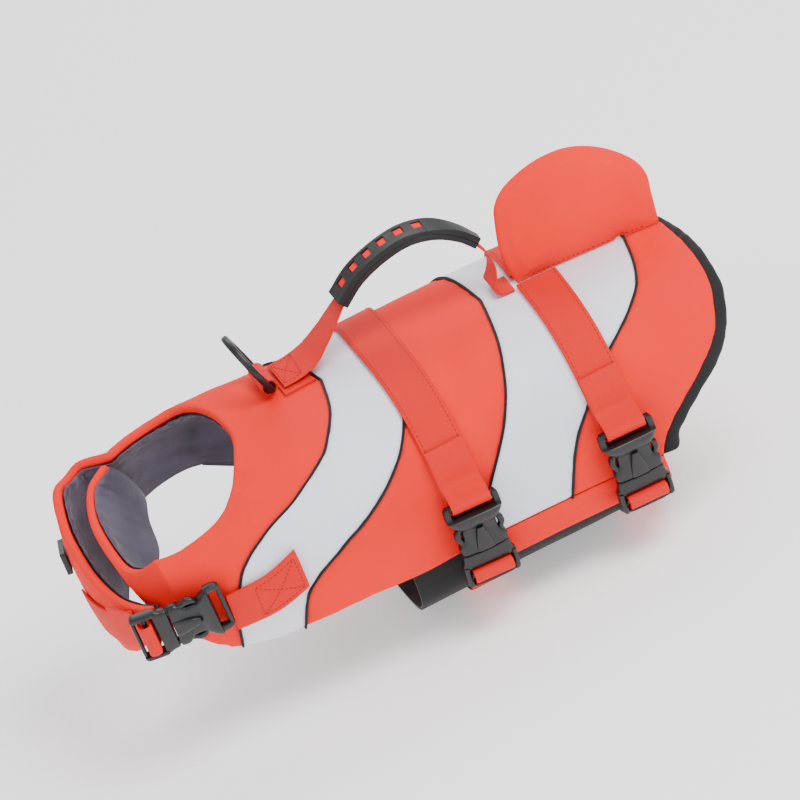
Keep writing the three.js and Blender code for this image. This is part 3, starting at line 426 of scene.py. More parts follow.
def webbingMaterial(name, look):
    # ribs across the webbing, every second one raised, with painted shade: the valley between them is coloured
    # slightly darker
    material, tree, shader = startMaterial(name, look["roughness"], 1.46, look["sheen"])
    uv = addNode(tree, "ShaderNodeUVMap", uv_map="cut").outputs["UV"]
    ribs = addNode(tree, "ShaderNodeTexWave", bands_direction="Y", Scale=look["ribs"], Distortion=0.25)
    grain = addNode(tree, "ShaderNodeTexWave", bands_direction="X", Scale=look["ribs"] * 1.3, Distortion=0.4)
    tree.links.new(uv, ribs.inputs["Vector"])
    tree.links.new(uv, grain.inputs["Vector"])
    # painted shade: the ribs that make the bump also darken the base colour in their valleys
    tree.links.new(mixColours(tree, ribs.outputs["Fac"], linear(look["dark"]), linear(look["light"])),
                   shader.inputs["Base Color"])
    both = addNode(tree, "ShaderNodeMath", operation="MULTIPLY_ADD")
    tree.links.new(grain.outputs["Fac"], both.inputs[0])
    both.inputs[1].default_value = 0.35
    tree.links.new(ribs.outputs["Fac"], both.inputs[2])
    bump = addNode(tree, "ShaderNodeBump", Strength=look["weave"], Distance=0.0003)
    tree.links.new(both.outputs["Value"], bump.inputs["Height"])
    tree.links.new(bump.outputs["Normal"], shader.inputs["Normal"])
    return material


def mouldedMaterial(name, look):
    # moulded plastic: fine spark texture, a little uneven gloss
    material, tree, shader = startMaterial(name, look["roughness"], 1.49)
    shader.inputs["Base Color"].default_value = linear(look["light"])
    here = addNode(tree, "ShaderNodeTexCoord").outputs["Object"]
    spark = addNode(tree, "ShaderNodeTexNoise", Scale=look["grain"], Detail=2.0)
    gloss = addNode(tree, "ShaderNodeTexNoise", Scale=60.0, Detail=3.0)
    tree.links.new(here, spark.inputs["Vector"])
    tree.links.new(here, gloss.inputs["Vector"])
    spread = addNode(tree, "ShaderNodeMapRange", From_Min=0.3, From_Max=0.7,
                     To_Min=look["roughness"] - 0.06, To_Max=look["roughness"] + 0.08)
    tree.links.new(gloss.outputs["Fac"], spread.inputs["Value"])
    tree.links.new(spread.outputs["Result"], shader.inputs["Roughness"])
    bump = addNode(tree, "ShaderNodeBump", Strength=0.25, Distance=0.0001)
    tree.links.new(spark.outputs["Fac"], bump.inputs["Height"])
    tree.links.new(bump.outputs["Normal"], shader.inputs["Normal"])
    return material


orangeNylon = clothMaterial("orangeNylon", {
    "light": "#FC1400", "dark": "#EE0C00", "roughness": 0.75, "sheen": 0.0, "patch": 9.0, "threads": 7.0,
    "weave": 0.4, "folds": 26.0, "foldDepth": 0.3})
whiteNylon = clothMaterial("whiteNylon", {
    "light": "#F0F2FC", "dark": "#E2E5F2", "roughness": 0.5, "sheen": 0.05, "patch": 7.0, "threads": 8.0,
    "weave": 0.25, "folds": 18.0, "foldDepth": 0.25})
greyLining = clothMaterial("greyLining", {
    "light": "#585365", "dark": "#3F3C48", "roughness": 0.62, "sheen": 0.25, "patch": 30.0, "threads": 8.0,
    "weave": 0.3, "folds": 60.0, "foldDepth": 0.6})
blackCloth = clothMaterial("blackCloth", {
    "light": "#1B1C1E", "dark": "#101113", "roughness": 0.75, "sheen": 0.1, "patch": 20.0, "threads": 6.0,
    "weave": 0.5, "folds": 40.0, "foldDepth": 0.4})
# for webbing and thread, dark is painted shade in the rib valleys and light is the rib tops
orangeWebbing = webbingMaterial("orangeWebbing", {
    "light": "#F40E00", "dark": "#CE0800", "roughness": 0.65, "sheen": 0.0, "ribs": 3.6, "weave": 0.7})
orangeThread = webbingMaterial("orangeThread", {
    "light": "#C40A00", "dark": "#A00600", "roughness": 0.6, "sheen": 0.0, "ribs": 9.0, "weave": 0.4})
blackPlastic = mouldedMaterial("blackPlastic", {"light": "#121315", "roughness": 0.36, "grain": 900.0})
blackRubber = mouldedMaterial("blackRubber", {"light": "#141517", "roughness": 0.48, "grain": 700.0})
print("materials made")


# ---- panels of the back ----
def spread(edges, finer):
    return np.interp(np.linspace(0, len(edges) - 1, (len(edges) - 1) * finer + 1), np.arange(len(edges)), edges)


rowEdges = np.concatenate([np.linspace(-1, -0.98, 4), np.linspace(-0.96, -0.6, 9)[:-1],
                           np.linspace(-0.6, -0.42, 12), np.linspace(-0.38, 0.96, 28),
                           np.linspace(0.98, 1, 4)])
shares = spread(rowEdges, 3)

panels = {
    "white_band_front": {"fore": "bandFrontFore", "aft": "bandFrontAft", "cloth": whiteNylon, "columns": 26,
                         "slot": "white_cloth", "roundAft": 1.6,
                         "creases": [(-20, 60, 70, 75, -0.9, 9), (-60, -120, 60, 20, -0.7, 8)]},
    "middle_panel": {"fore": "bandFrontAft", "aft": "bandRearFore", "cloth": orangeNylon, "columns": 34,
                     "slot": "orange_cloth", "roundAft": 1.6,
                     "creases": [(48, -60, 90, 80, -1.2, 10), (34, -110, 70, 60, 0.8, 9),
                                 (-30, -140, 80, 12, -1.0, 10), (-60, -165, 60, 8, 0.7, 8),
                                 (30, -172, 46, 30, -1.1, 7), (60, -25, 60, 70, -0.6, 9)]},
    "white_band_rear": {"fore": "bandRearFore", "aft": "bandRearAft", "cloth": whiteNylon, "columns": 34,
                        "slot": "white_cloth", "roundAft": 1.6,
                        "creases": [(90, -80, 90, 85, -0.9, 11), (70, -150, 60, 70, -0.8, 9),
                                    (105, -130, 50, 60, 0.5, 8)]},
    "rear_panel": {"fore": "bandRearAft", "aft": "rearEdge", "cloth": orangeNylon, "columns": 30,
                   "slot": "orange_cloth", "roundAft": 1.2,
                   "creases": [(185, -95, 80, 70, -1.0, 10), (165, -150, 60, 30, -1.0, 8),
                               (120, -170, 50, 15, -0.9, 7), (200, -60, 60, 60, 0.7, 9)]},
    "rear_binding": {"fore": "rearEdge", "aft": "bindingEdge", "cloth": blackCloth, "columns": 10,
                     "slot": "black_cloth", "roundAft": 3.5, "creases": []},
}


def makePanel(name, cut):
    # rows follow the girth share between lower edges, columns run from seam to seam, closer at both seams
    share = shares[:, None]
    u = 0.5 - 0.5 * np.cos(np.pi * np.linspace(0, 1, cut["columns"]))
    gap = 0.15
    slopeOf = lambda seam: (seamPlace(seam, shares + 0.01) - seamPlace(seam, shares - 0.01)) / 3.6
    fore = seamPlace(cut["fore"], shares) + gap * np.hypot(1, slopeOf(cut["fore"]))
    aft = seamPlace(cut["aft"], shares) - gap * np.hypot(1, slopeOf(cut["aft"]))
    x = fore[:, None] + (aft - fore)[:, None] * u
    girth = lowerGirth(x, share)
    flat = onBody(x, girth)
    toFore, toAft = gridDistances(flat)
    toNear, toFar = (d.T for d in gridDistances(np.swapaxes(flat, 0, 1)))
    lower = np.minimum(toNear, toFar)
    pucker = 0.22 * (np.exp(-toFore / 7) + np.exp(-toAft / 7)) * (np.sin(toNear / 1.9 + 2 * np.sin(toNear / 13))
                                                                + np.sin(toNear / 3.1 + 1))
    plump = 0.55 * waves(x, girth, (23, 37, 61)) * ease(0, 25, np.minimum(toFore, toAft))
    roundRim = groove(lower, body["wall"] / 2)
    lift = plump + pucker + creased(x, girth, cut["creases"]) * ease(0, 12, lower)
    lift = np.minimum(lift, 0.9) - 1.1 * np.exp(-toFore / 2.2) - roundRim
    lift = lift - (groove(toAft, cut["roundAft"]) if cut["roundAft"] > 2 else 1.1 * np.exp(-toAft / 2.2))
    if cut["roundAft"] > 2:
        roundRim = np.maximum(roundRim, groove(toAft, cut["roundAft"]))
    piece = shell(name + "_cloth", over(x, girth, lift), over(x, girth, -body["wall"] + roundRim), cut["cloth"])
    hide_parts(name)
    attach(piece, "jacket")
    return piece


for name, cut in panels.items():
    makePanel(name, cut)
print("back panels made")

piping = {"width": 2.0, "height": 1.7, "rows": 420, "names": ["bandFrontFore", "bandFrontAft", "bandRearFore",
                                                             "bandRearAft"]}
for number, seam in enumerate(piping["names"], 1):
    # half-round cord laid over the seam: section of a flat base and an arc
    share = np.linspace(-1, 1, piping["rows"])
    x = seamPlace(seam, share)
    girth = lowerGirth(x, share)
    centre, normal = onBody(x, girth), bodyNormal(x, girth)
    across = unit(np.cross(np.gradient(centre, axis=0), normal))
    turn = np.linspace(0, np.pi, 9)
    arc = (centre[:, None] + across[:, None] * (-np.cos(turn) * piping["width"] / 2)[None, :, None]
           + normal[:, None] * (-0.6 + np.sin(turn) * (piping["height"] + 0.3))[None, :, None])
    base = (centre[:, None] + across[:, None] * (-np.cos(turn) * piping["width"] / 2)[None, :, None]
            - normal[:, None] * 0.9)
    cord = shell("piping_%d_cord" % number, arc, base, blackCloth)
    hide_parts("piping_%d" % number)
    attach(cord, "jacket")
print("piping made")

# ---- front panel with the two neck flaps ----
front = {
    "nearFlap": [  # neck, bulge and edge points of each row
        ((-192, 38, 2), (-182, 51, -16), (-179, 58, -44)), ((-208, 31, -5), (-199, 39, -33), (-184, 41, -57)),
        ((-218, 13, -14), (-210, 14, -42), (-190, 9, -68)), ((-222, -12, -22), (-217, -14, -48), (-203, -13, -70)),
        ((-219, -40, -36), (-219, -43, -54), (-212, -42, -68)),
        ((-211, -56, -36), (-212, -62, -56), (-205, -62, -84))],
    "nearLower": [  # neck x, neck girth, edge x, edge girth
        (-199, -53, -194, -126), (-190, -56, -182, -143), (-181, -58, -168.5, -153)],
    "seam": [  # share, neck x, neck girth
        (-1, -181, -58), (-0.81, -172, -58), (-0.64, -162, -57), (-0.56, -152, -55), (-0.515, -141, -50),
        (-0.487, -130, -40), (-0.447, -122, -29), (-0.37, -115, -16), (-0.22, -110, -3), (-0.02, -108, 10),
        (0.18, -109, 26), (0.34, -112, 43), (0.5, -118, 60), (0.66, -126, 73), (0.83, -134, 80), (1, -143, 82)],
    "farLower": [
        (-143, 82, -120.5, 153), (-157, 80, -136, 150), (-171, 77, -154, 147), (-184, 73, -172, 144)],
    "farFlap": [
        ((-204, 62, 0), (-202, 84, -28), (-190, 86, -80)), ((-216, 60, -4), (-216, 76, -40), (-204, 74, -96)),
        ((-228, 50, -5), (-232, 62, -46), (-216, 58, -108)), ((-236, 32, -23), (-242, 40, -58), (-226, 36, -114)),
        ((-238, 6, -36), (-245, 10, -68), (-232, 8, -114)), ((-237, -16, -45), (-244, -18, -72), (-233, -18, -108)),
        ((-231, -44, -53), (-237, -50, -72), (-229, -45, -98)),
        ((-225, -62, -54), (-227, -68, -68), (-222, -62, -86)),
        ((-214, -74, -56), (-217, -79, -70), (-212, -75, -87))],
    "columns": 27, "steps": 9, "reach": 26, "liningGap": 0.7, "liningThick": 0.8,
}
across = 0.5 - 0.5 * np.cos(np.pi * np.linspace(0, 1, front["columns"]))


def flapRows(table):
    # quadratic curve of each row from the neck over its bulge to the edge
    p = np.asarray(table, float)[:, :, None] + np.array([0, 0, body["back"]])
    t = across[:, None]
    return (1 - t) ** 2 * p[:, 0] + 2 * t * (1 - t) * p[:, 1] + t ** 2 * p[:, 2]


def bodyRows(neckX, neckGirth, edgeX, edgeGirth):
    # straight row on the developed body from the neck edge to the outer edge
    x = neckX[:, None] + (edgeX - neckX)[:, None] * across
    return onBody(x, neckGirth[:, None] + (edgeGirth - neckGirth)[:, None] * across)


def lowerRows(table):
    table = np.asarray(table, float)
    index = np.arange(len(table))
    place = np.linspace(0, len(table) - 1, (len(table) - 1) * front["steps"] + 1)
    return bodyRows(*(along(np.stack([index, table[:, k]], 1), place) for k in range(4)))


def frontRows(reach=0.0):
    near, far = lowerRows(front["nearLower"]), lowerRows(front["farLower"])
    slope = (seamPlace("bandFrontFore", shares + 0.01) - seamPlace("bandFrontFore", shares - 0.01)) / 3.6
    edgeX = seamPlace("bandFrontFore", shares) - 0.15 * np.hypot(1, slope) + reach * ease(-0.5, 0, shares)
    seam = bodyRows(along(column(front["seam"], 1), shares), along(column(front["seam"], 2), shares),
                    edgeX, lowerGirth(edgeX, shares))
    nearFlap = smoothPath(np.concatenate([flapRows(front["nearFlap"]), near[:1]]), front["steps"])
    farFlap = smoothPath(np.concatenate([far[-1:], flapRows(front["farFlap"])]), front["steps"])
    sizes = [len(nearFlap) - 1, len(near) - 1, len(seam), len(far) - 1, len(farFlap) - 1]
    return np.concatenate([nearFlap[:-1], near[:-1], seam, far[1:], farFlap[1:]]), np.cumsum(sizes)


coverRows, marks = frontRows()
coverNormals = gridNormals(coverRows)
toNeck, toEdge = gridDistances(coverRows)
toTip, toEnd = (d.T for d in gridDistances(np.swapaxes(coverRows, 0, 1)))
rowNumber = np.arange(len(coverRows))[:, None]
alongSeam = ease(marks[1] - 6, marks[1] + 2, rowNumber) * (1 - ease(marks[2] - 3, marks[2] + 5, rowNumber))
freeRim = np.minimum(np.minimum(toNeck, toEdge + 50 * alongSeam), np.minimum(toTip, toEnd))
rimRound = groove(freeRim, body["wall"] / 2)
frontLift = (0.5 * waves(coverRows[..., 0] + coverRows[..., 1], coverRows[..., 2] + coverRows[..., 1] * 0.5,
                         (17, 29, 45)) * ease(0, 20, freeRim)
             + 0.3 * np.exp(-toNeck / 8) * np.sin(toTip / 2.3 + 1.5 * np.sin(toTip / 17)) * ease(2, 6, toNeck)
             - 1.1 * np.exp(-toEdge / 2.2) * alongSeam
             - 0.5 * np.exp(-((toNeck - 7) / 1.6) ** 2)
             + creasedAt(coverRows, [
                 (-178, -104, -156, -90, -1.3, 4), (-188, -90, -150, -72, -0.9, 6), (-172, -122, -160, -148, -1.0, 5),
                 (-135, -30, -98, -62, -0.9, 8), (-150, 100, -188, 88, -1.0, 7), (-122, 64, -104, 120, -0.9, 8)]))
frontCloth = shell("front_panel_cloth", coverRows + coverNormals * (frontLift - rimRound)[..., None],
                   coverRows + coverNormals * (rimRound - body["wall"])[..., None], orangeNylon)
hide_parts("front_panel")
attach(frontCloth, "jacket")

# lining: starts behind the turned rim, gathered along it, and runs on behind the first seam on the far side
liningRows, _ = frontRows(front["reach"])
liningNormals = gridNormals(liningRows)
fromNeck, _ = gridDistances(liningRows)
tip, end = (d.T for d in gridDistances(np.swapaxes(liningRows, 0, 1)))
gathers = (np.exp(-fromNeck / 20) * (1.0 + np.sin(tip / 1.9 + 2.2 * np.sin(tip / 19) + fromNeck / 30))
           * (0.75 + 0.25 * np.sin(tip / 7.7)))
folds = 0.8 + 0.8 * waves(tip, fromNeck, (9, 15, 26))
depth = body["wall"] + front["liningGap"] + (1.1 * gathers + folds) * ease(0, 5, np.minimum(tip, end)) \
    * ease(0, 3, fromNeck)
inset = 2
liningOuter = (liningRows - liningNormals * depth[..., None])[:, inset:]
liningInner = (liningRows - liningNormals * (depth + front["liningThick"])[..., None])[:, inset:]
lining = shell("front_lining_cloth", liningOuter, liningInner, greyLining)
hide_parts("front_lining")
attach(lining, "jacket")
print("front panel and lining made")

# ---- hem bands and belly panel ----
hem = {"from": 18, "to": 147, "top": 192.3, "width": 24, "rows": 26, "columns": 90}
for side, name in ((-1, "hem_band_near"), (1, "hem_band_far")):
    x = np.linspace(hem["from"], hem["to"], hem["columns"])[None, :]
    drop = (0.5 - 0.5 * np.cos(np.pi * np.linspace(0, 1, hem["rows"])))[:, None] * hem["width"]
    girth = side * (hem["top"] + drop) + 0 * x
    x = x + 0 * drop
    edge = np.minimum(np.minimum(x - hem["from"], hem["to"] - x), hem["width"] - drop)
    rim = groove(edge, 3.0)
    lift = (0.5 * waves(x, girth, (11, 19, 31)) - 0.8 * np.exp(-drop / 2) - rim
            + creased(x, girth, [(100, side * 205, 60, side * 10, -0.8, 4), (60, side * 204, 50, 0, 0.5, 5)]))
    band = shell(name + "_cloth", over(x, girth, lift), over(x, girth, rim - 6), orangeNylon)
    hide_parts(name)
    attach(band, "jacket")

belly = {"from": -44, "to": 146, "thick": 2.5, "top": 184, "leave": 206, "bottom": -158}


def bellyLine(x, steps=8):
    # down along the inside of both walls, then a slung curve between them
    inside = over(x, np.array([belly["top"], (belly["top"] + belly["leave"]) / 2, belly["leave"]]),
                  -np.full(3, body["wall"] + 0.6 + belly["thick"] / 2))
    corner = inside[2]
    share = np.array([0.93, 0.8, 0.58, 0.3])
    low = belly["bottom"] + (corner[2] - belly["bottom"]) * (1 - np.sqrt(1 - share ** 2.6))
    sling = np.stack([np.full(4, x), corner[1] * share, low], -1)
    half = np.concatenate([inside, sling])
    other = half[::-1] * np.array([1, -1, 1])
    return smoothPath(np.concatenate([half, [[x, 0, belly["bottom"]]], other]), steps)


bellyRows = np.stack([bellyLine(x) for x in np.linspace(belly["from"], belly["to"], 60)])
tangent = unit(np.gradient(bellyRows, axis=1))
bellyOut = np.stack([0 * tangent[..., 0], -tangent[..., 2], tangent[..., 1]], -1)
bellyBend = 0.4 * waves(bellyRows[..., 0], bellyRows[..., 1], (12, 21, 33))
sling = shell("belly_panel_cloth", bellyRows + bellyOut * (bellyBend + belly["thick"] / 2)[..., None],
              bellyRows + bellyOut * (bellyBend - belly["thick"] / 2)[..., None], blackCloth)
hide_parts("belly_panel")
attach(sling, "jacket")
print("hem bands and belly panel made")

# ---- webbing straps on the back ----
strap = {"width": 30.0, "thick": 1.6, "lift": 1.92, "end": 152, "front": 10, "rear": 127}
coverStraps = {  # name: place, from girth, to girth
    "strap_front": (strap["front"], -strap["end"], 186),
    "strap_rear_near": (strap["rear"], -strap["end"], -8),
    "strap_rear_far": (strap["rear"], 8, 186)}
edgeShare = np.array([-0.5, -0.485, -0.44, -0.3, -0.1, 0.1, 0.3, 0.44, 0.485, 0.5])
edgeThin = np.array([0.45, 0.15, 0, 0, 0, 0, 0, 0, 0.15, 0.45])


def coverLayer(x, girth, low, high, thin):
    return over(x, girth, high - thin), over(x, girth, low + thin)


stitches = []
for name, (place, start, stop) in coverStraps.items():
    girth = np.linspace(start, stop, int(abs(stop - start) / 1.5))[:, None]
    x = place + edgeShare * strap["width"] + 0 * girth
    girth = girth + 0 * x
    sag = 0.25 * waves(girth, x, (14, 25))
    layers = coverLayer(x, girth, strap["lift"] + sag, strap["lift"] + strap["thick"] + sag,
                        edgeThin * strap["thick"])
    piece = shell(name + "_webbing", *layers, orangeWebbing)
    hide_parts(name)
    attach(piece, "jacket")
    for edge in (-0.42, 0.42):
        line = np.linspace(start, min(stop, 180), 200)
        at = place + edge * strap["width"] + 0 * line
        sag = 0.25 * waves(line, at, (14, 25))
        stitches.append(stitchRow(over(at, line, strap["lift"] + strap["thick"] + sag + 0.05), bodyNormal(at, line)))

chest = {"from": -166, "to": -112, "girthFore": 118, "girthAft": 125}
t = np.linspace(0, 1, 40)[:, None]
chestX = chest["from"] + (chest["to"] - chest["from"]) * t + 0 * edgeShare
chestGirth = -(chest["girthFore"] + (chest["girthAft"] - chest["girthFore"]) * t + edgeShare * strap["width"])
piece = shell("chest_strap_webbing", *coverLayer(chestX, chestGirth, strap["lift"],
                                                 strap["lift"] + 2 * strap["thick"], edgeThin * strap["thick"]),
              orangeWebbing)
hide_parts("chest_strap")
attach(piece, "jacket")


def chestLine(points):
    # line on the chest strap through points given as share of its length and share of its width
    points = np.asarray(points, float)
    at = np.linspace(0, len(points) - 1, 40 * (len(points) - 1))
    t, e = (np.interp(at, np.arange(len(points)), points[:, k]) for k in (0, 1))
    x = chest["from"] + (chest["to"] - chest["from"]) * t
    girth = -(chest["girthFore"] + (chest["girthAft"] - chest["girthFore"]) * t + e * strap["width"])
    return over(x, girth, np.full(t.shape, strap["lift"] + 2 * strap["thick"] + 0.05)), bodyNormal(x, girth)


for points in (((0.36, -0.38), (0.94, -0.38), (0.94, 0.38), (0.36, 0.38), (0.36, -0.38)),
               ((0.36, -0.38), (0.94, 0.38)), ((0.36, 0.38), (0.94, -0.38))):
    stitches.append(stitchRow(*chestLine(points), 3.0, 2.1))
print("straps made")


# ---- buckles ----
def frameOf(origin, up, out):
    # y along the strap, z outwards, x across
    across = unit(np.cross(up, out))
    matrix = np.eye(4)
    matrix[:3, 0], matrix[:3, 1], matrix[:3, 2] = across, unit(up), unit(np.cross(across, up))
    matrix[:3, 3] = origin
    return matrix


def placed(points, matrix):
    return np.asarray(points, float) @ matrix[:3, :3].T + matrix[:3, 3]


buckle = {"thick": 11, "lean": -4, "lift": 7, "centre": 183}


def girthFrame(place):
    high = over(place, -(buckle["centre"] - 33), np.array(buckle["lift"] + strap["lift"]))
    low = over(place + buckle["lean"], -(buckle["centre"] + 30), np.array(buckle["lift"]))
    return frameOf((low + high) / 2, high - low, bodyNormal(place, -buckle["centre"]))


chestFront, chestRear = np.array([-231, -82, -58.0]), np.array([-169, -95, -58.0])
frames = {"buckle_front": girthFrame(strap["front"]), "buckle_rear": girthFrame(strap["rear"]),
          "buckle_chest": frameOf((chestFront + chestRear) / 2, chestRear - chestFront,
                                  np.array([-0.28, -1, -0.22]))}
# tables of y, centre x, half width, low z, high z
socket = [
    loft([(-6, 0, 16.2, 0.6, 10.2), (-5.2, 0, 17, 0.1, 10.7), (-1, 0, 17.6, 0, 10.5), (3, 0, 15.2, 0, 9.9),
          (6, 0, 12.9, 0, 9.6), (12, 0, 12.7, 0, 9.7), (15.5, 0, 15, 0, 11.2), (20, 0, 18.4, 0, 12.5),
          (23.4, 0, 20.2, 0, 12.4), (24, 0, 20, 0.6, 10.6)], 28, 4, 4.5),
    loft([(22, -18, 2.4, 0.6, 9), (26, -18.1, 2.5, 0.2, 7.2), (30, -17.8, 2.5, 0.2, 6.4), (32.6, -17.2, 1.6, 1, 5.6)],
         14, 4, 3.5),
    loft([(22, 18, 2.4, 0.6, 9), (26, 18.1, 2.5, 0.2, 7.2), (30, 17.8, 2.5, 0.2, 6.4), (32.6, 17.2, 1.6, 1, 5.6)],
         14, 4, 3.5),
    loft([(29.8, 0, 17, 1.4, 4.8), (30.4, 0, 17.6, 0.4, 6), (31.6, 0, 17.6, 0.3, 6.1), (33, 0, 17, 1.4, 4.8)], 26, 3, 4),
    loft([(-5.6, 0, 6.8, 8, 11.9), (0, 0, 5.8, 8, 12.3), (7, 0, 4.2, 8, 12.4), (13, 0, 2.4, 8, 12.2)], 16, 4, 3),
]
plug = [
    loft([(-7, 0, 16.4, 1.6, 9.4), (-7.8, 0, 17.2, 0.8, 10.2), (-12, 0, 17.8, 0.6, 10.4), (-15, 0, 19.2, 0.7, 10.2),
          (-17.4, 0, 19.5, 1.2, 9.6)], 28, 4, 4.5),
    loft([(-16, -17.4, 2.1, 0.8, 10), (-24, -17.5, 2.1, 0.6, 9.8), (-31, -17.3, 2, 0.8, 9.2), (-33, -16.6, 1.2, 1.8, 8)],
         14, 4, 3.5),
    loft([(-16, 17.4, 2.1, 0.8, 10), (-24, 17.5, 2.1, 0.6, 9.8), (-31, 17.3, 2, 0.8, 9.2), (-33, 16.6, 1.2, 1.8, 8)],
         14, 4, 3.5),
    loft([(-25.6, 0, 16, 2, 8.8), (-25, 0, 16.4, 1, 9.6), (-23, 0, 16.4, 1, 9.6), (-22.4, 0, 16, 2, 8.8)], 26, 3, 4),
    loft([(-33, 0, 15.6, 2, 8), (-32.4, 0, 16.2, 1, 9), (-31, 0, 16.2, 1, 9), (-30.4, 0, 15.6, 2, 8)], 26, 3, 4),
    loft([(-8, -13.6, 2.4, 2.6, 8.4), (-2, -13.2, 2, 3, 8), (4, -14.6, 2, 2.8, 8.2), (8, -16.2, 2.3, 2.6, 8.4),
          (12, -15.6, 2.4, 2.8, 8.2), (14.6, -13.4, 1.6, 3.2, 7.8)], 16, 4, 3),
    loft([(-8, 13.6, 2.4, 2.6, 8.4), (-2, 13.2, 2, 3, 8), (4, 14.6, 2, 2.8, 8.2), (8, 16.2, 2.3, 2.6, 8.4),
          (12, 15.6, 2.4, 2.8, 8.2), (14.6, 13.4, 1.6, 3.2, 7.8)], 16, 4, 3),
]
for name, matrix in frames.items():
    for half, solids in (("female", socket), ("male", plug)):
        piece = joined("%s_%s_moulded" % (name, half), solids, blackPlastic, matrix)
        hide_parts("%s_%s" % (name, half))
        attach(piece, "jacket")
print("buckles made")


# ---- webbing loops at the buckles and under the belly ----
def addRibbon(name, node, centres, sides, widths, thick=1.6, steps=8, curl=0.0, material=None):
    top, under, line, side, normal = ribbonGrids(centres, sides, widths, thick, steps, curl)
    piece = shell(name, top, under, material or orangeWebbing)
    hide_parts(node)
    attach(piece, "jacket")
    return line, side, normal


barLoop = [(-33, -1.9), (-29.6, -0.6), (-28, 5.5), (-27.4, 12), (-24, 13.2), (-20.6, 12), (-20, 5.5), (-18.4, -0.4),
           (-14, -1.7), (-9, -1.7)]
endLoop = [(38, -0.5), (35.6, 4.2), (33.4, 7.2), (30.6, 8), (27.9, 6.6), (27, 3), (27.8, -1), (30.5, -1.9),
           (33, -1.9)]


def pathLength(points):
    return np.concatenate([[0], np.cumsum(np.linalg.norm(np.diff(points, axis=0), axis=-1))])


for place, key in ((strap["front"], "front"), (strap["rear"], "rear")):
    matrix = frames["buckle_" + key]
    sideways = matrix[:3, 0] * (1 if matrix[0, 0] > 0 else -1)
    far = over(place, np.array([189.0, 204, 216]), np.full(3, strap["lift"] + 0.8))
    far = np.concatenate([far, over(place, np.array([222.0]), np.array([-0.5]))])
    line = bellyLine(place, 24)
    run = pathLength(line) / pathLength(line)[-1]
    tangent = unit(np.gradient(line, axis=0))
    outward = np.stack([0 * tangent[:, 0], -tangent[:, 2], tangent[:, 1]], -1)
    stops = np.array([0.23, 0.3, 0.4, 0.5, 0.6, 0.7, 0.77])
    under = np.stack([np.interp(stops, run, (line + outward * (belly["thick"] / 2 + 3))[:, k]) for k in range(3)], -1)
    under[:, 0] += buckle["lean"] * stops
    corner = over(place + buckle["lean"], np.array([-223.0]), np.array([0.0]))
    loop = placed([(0, y, z) for y, z in barLoop], matrix)
    centres = np.concatenate([far, under, corner, loop])
    sides = np.array([[1.0, 0, 0]] * (len(centres) - len(loop)) + [sideways] * len(loop))
    addRibbon("belly_strap_%s_webbing" % key, "belly_strap_" + key, centres, sides, [29] * len(centres), 1.6, 8)
    sewn = over(place, -np.array([112.0, 121, 130, 139]), np.full(4, strap["lift"] + 2.4 + 0.3))
    back = unit(over(place - 15, -125.0, np.array(0.0)) - over(place + 15, -125.0, np.array(0.0)))
    turned = -sideways if np.dot(sideways, back) < 0 else sideways
    loop = placed([(0, y, z) for y, z in endLoop], matrix)
    centres = np.concatenate([sewn, loop])
    addRibbon("strap_end_%s_webbing" % key, "strap_end_" + key, centres,
              np.array([back] * 4 + [turned] * len(loop)), [29] * len(centres), 1.6, 8)

# webbing of the far flap: tab on its outside, then a loop round the bar of the chest buckle
tab = {"tableRows": 3, "rowsLeftFree": 1, "width": 27.0, "columns": 12}


def acrossRow(rows, share, width):
    # point of each row at a distance from its middle, along the row
    first, _ = gridDistances(rows)
    want = first[:, -1] / 2 + (share - 0.5) * width
    return np.stack([[np.interp(w, f, r[:, k]) for k in range(3)] for w, f, r in zip(want, first, rows)])


tabTo = len(coverRows) - tab["rowsLeftFree"] * front["steps"]
tabFrom = tabTo - 1 - tab["tableRows"] * front["steps"]
tabRows, tabNormals = coverRows[tabFrom:tabTo], coverNormals[tabFrom:tabTo]
tabGrids = []
for lift in (2.3, 0.75):
    grid = [acrossRow(tabRows + tabNormals * lift, s, tab["width"]) for s in np.linspace(0, 1, tab["columns"])]
    tabGrids.append(np.stack(grid, 1))
piece = shell("flap_tab_webbing", tabGrids[0], tabGrids[1], orangeWebbing)
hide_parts("flap_tab")
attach(piece, "jacket")
flapLoop = [(5, -45.8, -31.2), (4, -40, -23.6), (3, -34.3, -15.6), (1, -31, -8), (0, -28.6, -0.8), (0, -28, 5.5),
            (0, -27.4, 12), (0, -24, 13.2), (0, -20.6, 12), (0, -20, 5.5), (0, -18.4, -0.4), (0, -14, -1.7),
            (0, -9, -1.7)]
matrix = frames["buckle_chest"]
addRibbon("flap_loop_webbing", "flap_loop", placed(flapLoop, matrix), np.array([matrix[:3, 0]] * len(flapLoop)),
          [26] * len(flapLoop))
print("webbing loops made")

# ---- handle ----
handle = {
    "patchFrom": -61.5, "patchNear": 2, "patchFar": 54,
    "line": [  # x, y, z over the back, width
        (-59, 27.5, 4, 40), (-52, 27.5, 4.1, 40), (-43, 27, 5.4, 40), (-31, 26, 9.5, 38), (-19, 23, 19, 30),
        (-8, 20, 29.5, 24), (1, 18, 38, 18), (18, 16.5, 50.5, 18), (41, 14.5, 59, 18), (60, 12.5, 61.4, 18),
        (77, 10.5, 57.2, 14), (91, 8.5, 47, 9), (100, 6.5, 36, 6), (104, 5, 28, 12), (104.5, 4, 19, 19),
        (101.5, 3, 11.5, 24), (97.5, 2, 5.5, 26), (99.5, 2, 0.8, 26), (105, 2, -0.6, 26), (110, 2, -0.9, 26)]}
grip = {"fromRow": 6, "toRow": 12, "half": 11.6, "tipHalf": 4.2, "slotted": 0.665, "low": 1.4, "high": 5.8,
        "lip": -2.4, "lipWide": 2.1, "slots": 6, "slotFirst": 0.104, "slotPitch": 0.1075, "slotHalf": 0.0265,
        "slotNear": -3.0, "slotFar": 7.2}
s = np.linspace(0, 1, 60)[:, None]
